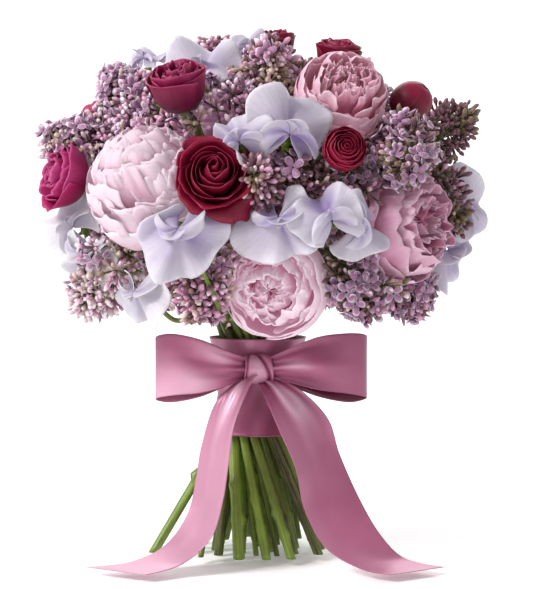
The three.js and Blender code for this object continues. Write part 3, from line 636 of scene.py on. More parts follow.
@dataclass(frozen=True)
class PeaFinish:
    """A thin crisp petal: white to lavender, deeper at its base, painted shade in its pleats."""

    name: str
    fold: str
    body: str
    rim: str

    def material(self) -> bpy.types.Material:
        """Builds the material."""
        tree = Tree(self.name)
        along, across, tone = tree.marks("along", "across", "tone")
        cloud = tree.noise(tree.place(), 45.0, 3.0)
        vein = tree.noise(tree.combine(across * 34.0, along * 1.6, 0.0), 1.0, 3.0, 0.6)
        # painted shade: the tone mark, high in the hollows of the pleats, deepens the colour
        # towards the fold colour; the base is deeper in its own colour, with random clouds
        deep = tone.step(0.4, 1.0) * 0.7 + (1.0 - along) ** 2.0 * 0.55 + cloud * 0.9 - 0.5
        colour = tree.blend(deep.clipped(), self.body, self.fold)
        colour = tree.blend((along ** 5.0) * 0.6, colour, self.rim)
        colour = tree.blend(vein.step(0.45, 0.7) * 0.14, colour, self.fold)
        # painted light: a faint glow of the petal's own colour, with less thrown back
        thrown = tree.blend(0.25, colour, "000000")
        return tree.surface(Base_Color=thrown, Roughness=vein * 0.15 + 0.42,
                            Normal=tree.bump(vein * 0.7 + cloud * 0.3, 0.0005, 0.6),
                            Subsurface_Weight=0.4, Subsurface_Radius=(0.9, 0.9, 1.0),
                            Subsurface_Scale=0.0015, Specular_IOR_Level=0.35,
                            Emission_Color=colour, Emission_Strength=0.1)


@dataclass(frozen=True)
class BudFinish:
    """Lilac buds or florets: dark at the tube, pale on the rounded head."""

    name: str
    throat: str
    head: str
    pale: str
    unripe: str
    # painted light: a glow of the buds' own colour that lifts the shade between them
    glow: float = 0.0
    rough: float = 0.5

    def material(self) -> bpy.types.Material:
        """Builds the material; whole clusters here and there are still unripe."""
        tree = Tree(self.name)
        along, tone = tree.marks("along", "tone")
        where = tree.place()
        cloud = tree.noise(where, 400.0, 2.0)
        young = tree.noise(where, 42.0, 1.0).step(0.52, 0.64)
        colour = tree.blend((along + cloud * 0.5 - 0.3).clipped(), self.throat, self.head)
        colour = tree.blend((tone * along).step(0.3, 0.85), colour, self.pale)
        colour = tree.blend(young * 0.6, colour, self.unripe)
        return tree.surface(Base_Color=colour, Roughness=cloud * 0.2 + (self.rough - 0.1),
                            Normal=tree.bump(cloud, 0.0003, 0.5), Sheen_Weight=0.2,
                            Subsurface_Weight=0.15, Subsurface_Radius=(1.0, 0.6, 0.9),
                            Subsurface_Scale=0.002, Emission_Color=colour,
                            Emission_Strength=self.glow)


@dataclass(frozen=True)
class FloretFinish:
    """Open lilac florets: a dark eye, a mauve hollow and a pale raised rim."""

    name: str
    eye: str
    body: str
    rim: str

    def material(self) -> bpy.types.Material:
        """Builds the material."""
        tree = Tree(self.name)
        along, tone = tree.marks("along", "tone")
        cloud = tree.noise(tree.place(), 300.0, 2.0)
        colour = tree.blend((along * 3.0 - 0.45).clipped(), self.eye, self.body)
        pale = (along + tone * 0.15 + cloud * 0.1).step(0.78, 1.0)
        colour = tree.blend(pale * 0.95, colour, self.rim)
        return tree.surface(Base_Color=colour, Roughness=cloud * 0.2 + 0.4,
                            Normal=tree.bump(cloud, 0.0003, 0.5), Sheen_Weight=0.15)


@dataclass(frozen=True)
class StemFinish:
    """A green stalk with darker streaks along it."""

    name: str
    light: str
    dark: str
    rough: float = 0.45

    def material(self) -> bpy.types.Material:
        """Builds the material."""
        tree = Tree(self.name)
        along, across, tone = tree.marks("along", "across", "tone")
        where = tree.place()
        streak = tree.noise(tree.combine((across * 3.1416).sine() * 5.0 + tone * 30.0,
                                         along * 3.0, tone * 7.0), 1.6, 4.0, 0.6)
        cloud = tree.noise(where, 70.0, 3.0)
        spots = tree.noise(where, 900.0, 2.0)
        mix = (streak.step(0.35, 0.65) * 0.6 + cloud * 0.6 + tone * 0.7 - 0.45).clipped()
        colour = tree.blend(mix, self.light, self.dark)
        return tree.surface(Base_Color=colour, Roughness=spots * 0.2 + (self.rough - 0.1),
                            Normal=tree.bump(streak * 0.7 + spots * 0.3, 0.0006, 0.6),
                            Subsurface_Weight=0.08, Subsurface_Scale=0.002)


@dataclass(frozen=True)
class CutFinish:
    """The pale cut end of a stem, with rings of pith."""

    name: str
    pith: str
    bark: str

    def material(self) -> bpy.types.Material:
        """Builds the material."""
        tree = Tree(self.name)
        grain = tree.noise(tree.place(), 900.0, 3.0)
        colour = tree.blend(grain.step(0.3, 0.7), self.pith, self.bark)
        return tree.surface(Base_Color=colour, Roughness=0.8,
                            Normal=tree.bump(grain, 0.0003, 0.5))


@dataclass(frozen=True)
class SatinFinish:
    """Woven satin: a fine rib across it, painted shade and a soft broad painted highlight."""

    name: str
    body: str
    deep: str
    shade: str
    painted_highlight: str

    def material(self) -> bpy.types.Material:
        """Builds the material; the weave follows the ribbon's own marks."""
        tree = Tree(self.name)
        along, across, tone = tree.marks("along", "across", "tone")
        cloud = tree.noise(tree.place(), 26.0, 3.0)
        slub = tree.noise(tree.combine(across * 3.0, along * 160.0, 0.0), 1.0, 3.0, 0.7)
        thread = tree.noise(tree.combine(across * 260.0, along * 40.0, 0.0), 1.0, 1.0)
        colour = tree.blend((cloud.step(0.3, 0.75) * 0.4 + slub * 0.2).clipped(),
                            self.body, self.deep)
        # painted light and shade: the tone mark darkens towards the shade colour above a half and
        # lightens towards the painted highlight below
        colour = tree.blend((tone * 2.0 - 1.0).clipped(), colour, self.shade)
        colour = tree.blend((1.0 - tone * 2.0).clipped(), colour, self.painted_highlight)
        selvedge = across.size().step(0.95, 0.985)
        colour = tree.blend(selvedge * 0.35, colour, self.deep)
        height = slub * 0.5 + thread * 0.5 + selvedge * 0.8
        return tree.surface(Base_Color=colour, Roughness=slub * 0.1 + 0.33, Metallic=0.25,
                            Normal=tree.bump(height, 0.0002, 0.5), Sheen_Weight=0.25,
                            Sheen_Roughness=0.35, Sheen_Tint="f6dce8",
                            Specular_IOR_Level=0.7, Anisotropic=0.5)


# ---- the drawing's own sizes
@dataclass(frozen=True)
class Bloom:
    """A peony or rose: the ball it fills and the way it faces."""

    at: Triple
    radius: float
    turn: float
    lift: float

    @property
    def centre(self) -> Array:
        """The ball's middle."""
        return np.array(self.at, float)

    @property
    def forward(self) -> Array:
        """The way the bloom faces."""
        return facing(self.turn, self.lift)

    def placed(self, local: Array, others: Sequence["Bloom"]) -> Array:
        """Moves points given in radii (right, up, forward) into place.

        A point past the flat seam between this ball and another is laid back on the seam.

        Args:
            local: points in radii, any shape that ends in 3.
            others: the neighbouring blooms.

        Returns:
            Points in millimetres.
        """
        points = self.centre + self.radius * (local @ axes_of(self.forward))
        for other in others:
            apart = other.centre - self.centre
            distance = float(np.linalg.norm(apart))
            mine, theirs = self.radius * BALL_ROOM, other.radius * BALL_ROOM
            if other is self or distance > mine + theirs + 4:
                continue
            apart = apart / distance
            seam = (distance + (mine**2 - theirs**2) / distance) / 2
            beyond = (points - self.centre) @ apart - (seam - PRESS_GAP / 2)
            points = points - np.maximum(beyond, 0.0)[..., None] * apart
        return points


class PeonyKind(Enum):
    """How far a peony has opened."""

    POMPON = "full dome of small ruffled petals"
    CUP = "smooth outer cup round a ruffled middle"
    OPEN = "ruffled, with a warm opening"


class RoseKind(Enum):
    """The forms of the dark blooms."""

    GARDEN = "open spiral with flared outer petals"
    GOBLET = "tall cup with a curled rim"
    SHELL = "wide cup of a few folded petals"
    SWIRL = "tight spiral of thin petals"
    BALL = "closed round bud"


@dataclass(frozen=True)
class Row:
    """One row of petals; lengths are in radii of the bloom, heights from its middle."""

    count: int
    rim: tuple[float, float]
    belly: tuple[float, float]
    shoulder: tuple[float, float]
    width: float = 1.45
    corner: float = 0.3
    curl: float = 0.0
    ruffle: float = 0.03
    waves: float = 5.0
    frill: float = 0.02
    lap: float = 0.05
    wander: float = 0.03
    notch: float = 0.0
    turn: float = 0.0
    stray: float = 0.0
    teeth: float = 0.0

    def sheets(self, rng: Random, rows: int, columns: int) -> Array:
        """Middle surfaces of the row's petals.

        A petal's middle line is a cubic Bezier curve in its own plane through the axis,
        from the base by belly and shoulder to the rim. Across, it turns round the axis.
        Towards the rim waves push it in and out, a frill and teeth shorten and lengthen
        it, and its corners and notches are drawn down. A curl rolls the rim outwards and
        back.

        Args:
            rng: the series of random numbers.
            rows: points along a petal.
            columns: points across a petal.

        Returns:
            Points in radii, shape (petals, rows, columns, 3).
        """
        n = self.count
        u, v = shares(rows, columns)

        def draw() -> Array:
            """A number from -1 to 1 for each petal."""
            return rng.uniform(-1, 1, (n, 1, 1))

        p1, p2, p3, p4 = (rng.uniform(0, 2 * math.pi, (n, 1, 1)) for _ in range(4))
        reach = 1 + 0.5 * self.wander * draw()
        lean = self.wander * draw()
        edge = (1 + self.wander * draw() - self.corner * np.abs(u) ** 2.8
                + self.frill * (np.sin(9 * u + p1) + 0.6 * np.sin(17 * u + p2))
                + self.teeth * rng.normal(size=(n, 1, columns))
                - self.notch * np.exp(-(((u - 0.35 * draw()) / 0.16) ** 2)))
        t = v * np.clip(edge, 0.05, 1.25)
        meridian = [bezier(a, b, c, d, t) for a, b, c, d in zip(
            (0.07, -BLOOM_BASE), self.belly, self.shoulder, self.rim)]
        out = meridian[0] * reach + lean * t**2 * 0.5
        high = (meridian[1] + BLOOM_BASE) * (1 + 0.4 * self.wander * draw()) - BLOOM_BASE
        out = out * (1 + self.lap * u)
        rolled = t**4 + 0.55 * np.abs(u) ** 4 * t**2
        out = out + self.curl * rolled
        high = high - 0.75 * self.curl * t**8
        wave = (np.sin(self.waves * u + p3) + 0.55 * np.sin(2.3 * self.waves * u + p4)
                + 0.3 * np.sin(4.1 * self.waves * u + p1 + 5 * v))
        out = out + self.ruffle * wave * t**2.5
        high = high + 0.6 * self.ruffle * wave * t**3
        first = self.turn + 2 * math.pi * (np.arange(n)[:, None, None] + self.stray * draw()) / n
        spread = math.pi / n * self.width * (1 + 0.12 * draw())
        phi = first + 0.16 * spread * draw() + u * spread * (0.55 + 0.45 * smooth(t * 1.6))
        return xyz(out * np.cos(phi), out * np.sin(phi), high)


def dome(angle: float, reach: float = 1.0) -> tuple[float, float]:
    """A rim's place on the dome, at an angle from its top in degrees."""
    a = math.radians(angle)
    return reach * math.sin(a), reach * math.cos(a)


def lapped(count: int, angle: float, reach: float = 1.0, slope: float = 0.5,
           inside: float = 0.93, **looks: float) -> Row:
    """A row whose petals lie on the dome like scales, rim at an angle from its top.

    The shoulder lies on the dome's tangent below the rim, so the petal's back shows.
    """
    a = math.radians(angle)
    shoulder = (inside * (math.sin(a) + slope * math.cos(a)) * reach,
                inside * (math.cos(a) - slope * math.sin(a)) * reach)
    low = smooth(np.array((angle - 10) / 70)).item()
    belly = (0.6 + 0.34 * low, -0.25 - 0.6 * low)
    return Row(count, dome(angle, reach), belly, shoulder, **looks)


OPEN_LOOKS = ("width", "corner", "ruffle", "waves", "frill", "teeth", "wander", "stray",
              "turn", "notch", "curl")
PEONY_ROWS: dict[PeonyKind, tuple[Row, ...]] = {
    PeonyKind.POMPON: (
        lapped(6, 98, 1.02, width=1.5, corner=0.14, ruffle=0.04, waves=4, frill=0.01, curl=0.03,
               wander=0.08),
        lapped(7, 86, 1.02, inside=0.94, width=1.5, corner=0.12, ruffle=0.045, waves=4,
               frill=0.012, wander=0.12, turn=0.3, stray=0.3),
        *(lapped(count, angle, 1.01, slope=0.45, inside=0.93, width=1.45, corner=0.12,
                 ruffle=0.05, waves=5, frill=0.024, teeth=0.008, curl=0.04, wander=0.18,
                 notch=0.07, turn=turn, stray=0.4)
          for count, angle, turn in ((8, 76, 0.1), (8, 67, 0.5), (8, 59, 0.2), (8, 51, 0.6),
                                     (8, 44, 0.1), (7, 37, 0.4), (7, 30, 0.0), (6, 23, 0.5),
                                     (5, 16, 0.3), (4, 9, 0.0), (3, 3, 0.4))),
    ),
    PeonyKind.CUP: (
        lapped(5, 98, 1.02, width=1.5, corner=0.18, ruffle=0.02, waves=3, frill=0.01, curl=0.03),
        lapped(6, 84, 1.02, width=1.5, corner=0.16, ruffle=0.03, waves=3, frill=0.015,
               wander=0.1, turn=0.5, stray=0.3),
        *(lapped(count, angle, reach, slope=slope, inside=0.95, width=1.5, corner=0.16,
                 ruffle=0.05 * fine, waves=4.5, frill=0.035 * fine, teeth=0.014 * fine,
                 curl=0.02, wander=0.2, notch=0.1 * fine, turn=turn, stray=0.5)
          for count, angle, reach, slope, turn, fine in (
              (5, 72, 1.03, 0.5, 0.1, 0.4), (5, 60, 1.03, 0.45, 0.7, 0.5),
              (5, 49, 1.02, 0.4, 0.3, 0.7), (6, 40, 1.01, 0.35, 0.6, 0.9),
              (6, 32, 0.99, 0.3, 0.1, 1.0), (6, 25, 0.97, 0.25, 0.5, 1.0),
              (5, 18, 0.95, 0.2, 0.2, 1.0), (5, 12, 0.93, 0.15, 0.7, 1.0),
              (4, 6, 0.9, 0.15, 0.0, 1.2), (3, 2, 0.82, 0.1, 0.5, 1.2))),
    ),
    PeonyKind.OPEN: tuple(
        lapped(count, angle, reach, slope, **dict(zip(OPEN_LOOKS, looks)))
        for count, angle, reach, slope, *looks in (
            (5, 96, 1.02, 0.5, 1.5, 0.18, 0.03, 3, 0.015, 0.0, 0.03, 0.0, 0.0, 0.0, 0.05),
            (5, 80, 1.03, 0.5, 1.5, 0.18, 0.035, 3, 0.02, 0.0, 0.1, 0.0, 0.5, 0.0, 0.04),
            (5, 66, 1.03, 0.5, 1.45, 0.16, 0.04, 4, 0.025, 0.0, 0.12, 0.0, 0.1, 0.1, 0.03),
            (5, 53, 1.02, 0.4, 1.4, 0.16, 0.05, 4, 0.03, 0.01, 0.18, 0.5, 0.7, 0.1, 0.0),
            (5, 41, 0.98, 0.25, 1.35, 0.14, 0.06, 5, 0.04, 0.012, 0.2, 0.6, 0.3, 0.12, 0.0),
            (5, 30, 0.9, 0.15, 1.3, 0.14, 0.06, 5, 0.05, 0.012, 0.2, 0.6, 0.6, 0.12, 0.0),
            (5, 21, 0.82, 0.1, 1.25, 0.14, 0.06, 5, 0.05, 0.012, 0.2, 0.6, 0.1, 0.0, 0.0),
            (5, 12, 0.74, 0.1, 1.2, 0.14, 0.06, 6, 0.05, 0.0, 0.2, 0.6, 0.5, 0.0, 0.0),
            (6, 8, 0.62, 0.1, 1.7, 0.24, 0.07, 5, 0.06, 0.0, 0.3, 1.0, 0.1, 0.0, 0.0))),
}

# Each line: count, rim, belly, shoulder, width, corner, curl, ruffle, waves, frill, lap,
# wander, notch and turn of a row of petals, the outermost row first.
ROSE_LINES = {
    RoseKind.GARDEN: (
        (5, (1.14, 0.04), (0.85, -0.8), (0.86, -0.2), 1.35, 0.2, 0.32, 0.06, 3.4, 0.006, 0.05,
         0.1, -0.06, 0.35),
        (5, (0.98, 0.3), (0.85, -0.75), (0.88, -0.1), 1.45, 0.18, 0.22, 0.045, 3, 0.006, 0.05,
         0.08, -0.05, 0.9),
        (4, (0.82, 0.46), (0.85, -0.8), (0.84, -0.1), 1.5, 0.2, 0.14, 0.04, 3, 0.008, 0.1,
         0.14, -0.08, 0.2),
        (3, (0.6, 0.58), (0.75, -0.7), (0.76, 0.1), 1.6, 0.2, 0.06, 0.03, 3, 0.008, 0.14,
         0.14, -0.06, 1.1),
        (3, (0.42, 0.68), (0.55, -0.5), (0.56, 0.2), 1.6, 0.18, 0.02, 0.03, 3, 0.008, 0.2, 0.12),
        (3, (0.26, 0.72), (0.4, -0.5), (0.36, 0.2), 1.6, 0.16, 0.0, 0.025, 3, 0.008, 0.3,
         0.12, 0.0, 0.9),
        (2, (0.1, 0.74), (0.25, -0.4), (0.2, 0.2), 1.6, 0.14, 0.0, 0.02, 3, 0.008, 0.4, 0.1)),
    RoseKind.GOBLET: (
        (3, (0.9, 0.66), (1.0, -0.95), (0.94, 0.1), 1.6, 0.16, 0.2, 0.03, 3, 0.015, 0.06,
         0.06, -0.06),
        (3, (0.76, 0.74), (0.92, -0.9), (0.88, 0.2), 1.6, 0.16, 0.12, 0.04, 3, 0.015, 0.08,
         0.06, -0.05, 1.0),
        (4, (0.56, 0.7), (0.7, -0.7), (0.7, 0.2), 1.5, 0.16, 0.0, 0.05, 4, 0.02, 0.1, 0.06),
        (4, (0.38, 0.68), (0.5, -0.6), (0.5, 0.2), 1.5, 0.16, 0.0, 0.06, 4, 0.03, 0.12, 0.08),
        (3, (0.2, 0.66), (0.3, -0.5), (0.3, 0.2), 1.5, 0.16, 0.0, 0.05, 4, 0.03, 0.15, 0.08)),
    RoseKind.SHELL: (
        (4, (1.12, 0.34), (0.95, -0.9), (1.05, -0.2), 1.5, 0.16, 0.1, 0.06, 3, 0.02, 0.05, 0.1),
        (4, (0.84, 0.5), (0.85, -0.85), (0.95, -0.05), 1.5, 0.16, 0.05, 0.06, 3, 0.02, 0.05,
         0.06, 0.0, 0.7),
        (4, (0.56, 0.5), (0.6, -0.7), (0.66, 0.0), 1.4, 0.16, 0.0, 0.07, 4, 0.02, 0.05, 0.08),
        (3, (0.3, 0.42), (0.35, -0.6), (0.4, 0.0), 1.4, 0.16, 0.0, 0.06, 4, 0.02, 0.05, 0.08)),
    RoseKind.SWIRL: (
        (5, (0.94, 0.36), (0.92, -0.86), (1.06, -0.1), 1.7, 0.12, 0.0, 0.02, 5, 0.008, 0.06),
        (4, (0.76, 0.5), (0.85, -0.8), (0.95, 0.05), 1.8, 0.12, 0.0, 0.02, 5, 0.008, 0.08,
         0.03, 0.0, 0.4),
        (4, (0.58, 0.6), (0.7, -0.7), (0.74, 0.15), 1.8, 0.12, 0.0, 0.02, 5, 0.008, 0.12,
         0.03, 0.0, 0.3),
        (3, (0.4, 0.63), (0.5, -0.6), (0.52, 0.2), 1.9, 0.12, 0.0, 0.015, 5, 0.006, 0.16,
         0.03, 0.0, 0.8),
        (3, (0.24, 0.64), (0.3, -0.5), (0.33, 0.2), 1.8, 0.12, 0.0, 0.01, 5, 0.006, 0.2,
         0.03, 0.0, 0.4),
        (2, (0.1, 0.62), (0.18, -0.4), (0.16, 0.2), 1.7, 0.1, 0.0, 0.008, 5, 0.006, 0.25)),
    RoseKind.BALL: (
        (3, (0.14, 0.86), (1.22, -0.98), (1.12, 0.72), 1.35, 0.06, 0.0, 0.008, 5, 0.004, 0.05,
         0.01),
        (3, (0.06, 0.84), (1.12, -0.95), (1.04, 0.7), 1.4, 0.06, 0.0, 0.008, 5, 0.004, 0.05,
         0.01, 0.0, 1.0)),
}
ROSE_ROWS = {kind: tuple(Row(*line) for line in lines) for kind, lines in ROSE_LINES.items()}

PEONY_BLOOMS = (
    Bloom((-72, -104, 263), 41, -28, 18), Bloom((12, -92, 198), 36, -3, 2),
    Bloom((97, -86, 238), 39, 48, 6), Bloom((57, -94, 325), 31, 12, 34),
    Bloom((-34, -58, 309), 25, -15, 48), Bloom((-82, 84, 262), 41, -138, 16),
    Bloom((70, 98, 250), 41, 146, 14),
)
ROSE_BLOOMS = (
    Bloom((-52, -120, 330), 19, -20, 58), Bloom((-28, -143, 270), 20, 4, 22),
    Bloom((-138, -62, 274), 20, -60, 12), Bloom((57, -138, 287), 14, 10, 14),
    Bloom((108, -68, 326), 16, 58, 40), Bloom((57, -50, 360), 15, 20, 70),
    Bloom((13, -26, 371), 14, 0, 76), Bloom((-122, 38, 322), 18, -118, 42),
    Bloom((118, 44, 318), 18, 118, 40),
)
BALLS = PEONY_BLOOMS + ROSE_BLOOMS


def clear_of_blooms(points: Array, gap: float = 0.0) -> Array:
    """Which points lie more than a gap outside the ball of every bloom."""
    return np.all([np.linalg.norm(points - ball.centre, axis=1) > ball.radius + gap
                   for ball in BALLS], axis=0)


@dataclass(frozen=True)
class Panicle:
    """A lilac head: where its axis starts and ends, its greatest radius and its colouring.

    Dusk is the share of brown buds, or of young pale ones where it is below 0. Both are
    partly the buds' own colour and partly painted light: the brown heads stand at the
    right, away from the key light, as painted shade, and the pale ones at the left.
    """

    start: Triple
    end: Triple
    radius: float
    dusk: float = 0.3
    open_share: float = 0.12


PANICLES = (
    Panicle((-76, -48, 308), (-102, -44, 343), 25, -0.3, 0.25),
    Panicle((-94, -46, 293), (-148, -44, 300), 19, -0.4, 0.3),
    Panicle((-90, -64, 224), (-121, -72, 182), 25, -0.8, 0.03),
    Panicle((-20, -92, 232), (-40, -114, 177), 26, 0.3, 0.03),
    Panicle((2, -50, 318), (10, -88, 357), 24, 0.3, 0.12),
    Panicle((-27, 0, 338), (-33, 4, 382), 24, 0.3, 0.05),
    Panicle((102, -86, 300), (97, -134, 276), 22, 0.85, 0.16),
    Panicle((123, -30, 298), (152, -14, 320), 18, 0.95, 0.0),
    Panicle((122, -50, 284), (141, -50, 240), 19, 0.95, 0.04),
    Panicle((54, -98, 214), (75, -107, 186), 22, 0.6, 0.22),
    Panicle((4, -106, 248), (-1, -146, 272), 17, 0.6, 0.0),
    Panicle((97, -55, 210), (110, -62, 184), 22, 0.7, 0.22),
    Panicle((-34, 50, 330), (-60, 82, 358), 28, 0.3, 0.15),
    Panicle((46, 40, 336), (76, 60, 364), 27, 0.5, 0.15),
    Panicle((-4, 96, 280), (-8, 142, 316), 30, 0.4, 0.15),
    Panicle((0, 80, 222), (-10, 128, 194), 29, 0.4, 0.15),
)


@dataclass(frozen=True)
class PeaBloom:
    """A sweet pea: the middle of the disc it fills, its width, its facing and its roll."""

    at: Triple
    width: float
    turn: float
    lift: float
    roll: float = 0.0

    @property
    def axes(self) -> Array:
        """Rows right, up and forward, rolled so that up runs towards the standard."""
        return spun(axes_of(facing(self.turn, self.lift)), math.radians(self.roll))

    @property
    def heart(self) -> Array:
        """Where its petals meet."""
        return np.array(self.at, float) - 0.14 * self.width * self.axes[1]


SPRAYS = (
    (PeaBloom((-38, -74, 350), 51, -12, 30), PeaBloom((-7, -54, 366), 34, 4, 34)),
    (PeaBloom((-82, -14, 365), 30, -40, 45),),
    (PeaBloom((22, -142, 303), 54, 14, 12, -8), PeaBloom((-14, -142, 296), 40, -10, 16, 30)),
    (PeaBloom((-50, -150, 228), 56, -14, 0, 180),),
    (PeaBloom((16, -146, 236), 52, -14, 2, 195), PeaBloom((46, -152, 246), 46, 6, 10, 20),
     PeaBloom((70, -138, 238), 42, 26, 0, -80)),
    (PeaBloom((-134, -62, 240), 48, -34, 4, 62), PeaBloom((-122, -76, 214), 46, -28, -8, 170)),
    (PeaBloom((-82, -106, 188), 44, -34, -8, 180),),
    (PeaBloom((150, -46, 252), 52, 26, 6, -68), PeaBloom((138, -42, 216), 50, 30, -4, 200)),
    (PeaBloom((-46, 134, 252), 50, -162, 8), PeaBloom((26, 146, 262), 48, 172, 10)),
)

LEFT_LOOP = np.array([
    (-4, 2, 0, 6), (-20, 10, 1, 12), (-40, 16, 3, 19), (-59, 14, 4, 22), (-71, 6, 2, 22.5),
    (-73, -3, -1, 22), (-62, -9, -4, 21), (-42, -8, -4, 17), (-20, -4, -2, 10),
    (-4, 0, 0, 6)], float)
RIGHT_LOOP = np.array([
    (4, 2, 0, 6), (22, 10, 3, 12), (43, 17, 5, 19), (63, 15, 5, 21.5), (76, 7, 3, 22.5),
    (78, -3, 0, 22), (66, -9, -4, 21), (45, -8, -4, 17), (22, -4, -2, 10),
    (4, 0, 0, 6)], float)
LEFT_TAIL = np.array([
    (-5, -46, 133, 6, 0, 1), (-17, -52, 121, 13, -3, 8), (-28, -57, 91, 12, -12, 9),
    (-32, -61, 66, 12, -14, 7), (-37, -66, 40, 13, -13, 7), (-49, -72, 17, 17, -10, 5),
    (-71, -79, 3.5, 19, -10, 1.5), (-97, -92, 0.8, 22, -13, 0)], float)
RIGHT_TAIL = np.array([
    (6, -46, 131, 6, 1, 2), (20, -52, 117, 13, 7, 3), (33, -57, 98, 18, 10, 2),
    (43, -60, 72, 16, 14, 3), (53, -64, 42, 20, 8, 2), (68, -68, 16, 20, 7, 3),
    (88, -76, 2.5, 17, 14, 0.5), (110, -92, 0.8, 20, 11, 0)], float)
KNOT_Z = 136.0
KNOT_SIZE = (11.0, 8.0, 10.0)   # half its width, depth and height
WRAP_LOW, WRAP_HIGH = 86.0, 157.0
SEAT_GAP = 0.3
EASING = 14.0                   # mm before the box's wall within which petals bend back
STEM_SAMPLES = 90
LOOSE_LILAC = 15                # whose stem leans away below the wrap


class Layout:
    """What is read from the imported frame: the shift of the drawing and the stems' courses."""

    offset: Array = np.zeros(3)
    low: Array = np.zeros(3)
    high: Array = np.zeros(3)
    nodes: dict[str, bpy.types.Object] = {}

    @classmethod
    def read(cls, frame: dict[str, Any]) -> None:
        """Keeps the nodes and finds the drawing's shift from the ribbon round the tie."""
        cls.nodes = frame["nodes"]
        low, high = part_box("ribbon_wrap")
        cls.offset = np.array([low.x + high.x, low.y + high.y, 0.0]) * 500.0
        cls.low, cls.high = (np.array(list(corner)) * 1000.0 - cls.offset
                             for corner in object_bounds())

    @classmethod
    def inside(cls, points: Array, low: float, high: float) -> Array:
        """Which points lie this far inside the low and the high walls of the part's box."""
        return ((points > cls.low + low) & (points < cls.high - high)).all(axis=1)

    @classmethod
    def eased(cls, points: Array) -> Array:
        """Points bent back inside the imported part's box.

        The last millimetres before a wall are filled along a hyperbolic tangent.
        """
        for wall, sign in ((cls.low + 0.5, -1.0), (cls.high - 0.5, 1.0)):
            over = np.maximum(sign * (points - wall) + EASING, 0.0)
            points = points - sign * (over - EASING * np.tanh(over / EASING))
        return points

    @classmethod
    def points_of(cls, name: str) -> tuple[Array, Array]:
        """A node's merged points, in drawing millimetres, and its edges."""
        mesh = cls.nodes[name].data
        flat = np.zeros(len(mesh.vertices) * 3, np.float32)
        mesh.vertices.foreach_get("co", flat)
        corners = np.zeros(len(mesh.loops), np.int32)
        mesh.loops.foreach_get("vertex_index", corners)
        points = flat.reshape(-1, 3).astype(float) * 1000.0
        _, first, same = np.unique(np.round(points * MERGE_STEPS).astype(int), axis=0,
                                   return_index=True, return_inverse=True)
        triangles = same.ravel()[corners].reshape(-1, 3)
        edges = np.concatenate([triangles[:, [0, 1]], triangles[:, [1, 2]], triangles[:, [2, 0]]])
        return points[first] - cls.offset, edges

    @classmethod
    def rings(cls, name: str, count: int) -> Array:
        """Middles of a node's first rings of points, counted from its foot on the floor.

        A ring is the points that one edge joins to the ring before it.
        """
        points, edges = cls.points_of(name)
        ring = points[:, 2] < FLOOR_TOUCH
        known = np.zeros(len(points), bool)
        middles = []
        for _ in range(count):
            middles.append(points[ring].mean(axis=0))
            known |= ring
            near = np.zeros(len(points), bool)
            near[edges[ring[edges].any(axis=1)].ravel()] = True
            ring = near & ~known
        return np.array(middles)

    @classmethod
    def course(cls, name: str, rings: int, top: Optional[Array] = None,
               straight: int = 2) -> Array:
        """A stem's middle line from the floor to its flower.

        Args:
            name: the node that holds the stem.
            rings: how many of its rings are read.
            top: where the line ends, if not on the last ring.
            straight: how many rings, from the foot, have straight runs between them.

        Returns:
            Points in millimetres, shape (STEM_SAMPLES, 3).
        """
        middles = cls.rings(name, rings)
        share = np.linspace(0, 1, 5)[:, None]
        runs = [middles[:1]]
        for foot, start in zip(middles[:straight - 1], middles[1:straight]):
            runs.append((foot + share * (start - foot))[1:])
        rows = np.concatenate([*runs, middles[straight:]])
        if top is not None:
            rows = np.concatenate([rows, top[None]])
        return through(rows, np.linspace(0, 1, STEM_SAMPLES))


class Piece:
    """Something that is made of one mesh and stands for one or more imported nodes."""

    def finish(self, body: Body, name: str, nodes: Sequence[str], slot: str,
               materials: Materials) -> bpy.types.Object:
        """Makes the mesh, rides it on the root and lets it stand for its nodes.

        Args:
            body: the mesh.
            name: the piece's name.
            nodes: the nodes that it stands for.
            slot: the record's material slot; not used.
            materials: its materials.

        Returns:
            The new object.
        """
        piece = body.build(name, materials)
        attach(piece, "root")
        if nodes:
            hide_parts(*nodes)
        triangles = sum(len(f) * (f.shape[1] - 2) for f, _, _ in body.faces)
        log.info("%s: %d triangles", name, triangles)
        return piece


# ---- peonies and roses
FULL_HEART = ((-0.86, 0.2), (-0.5, 0.62), (0.0, 0.82), (0.5, 0.7), (0.78, 0.42), (0.88, 0.16))
SMALL_HEART = ((-0.86, 0.2), (-0.5, 0.5), (-0.1, 0.5), (0.15, 0.36), (0.36, 0.14))


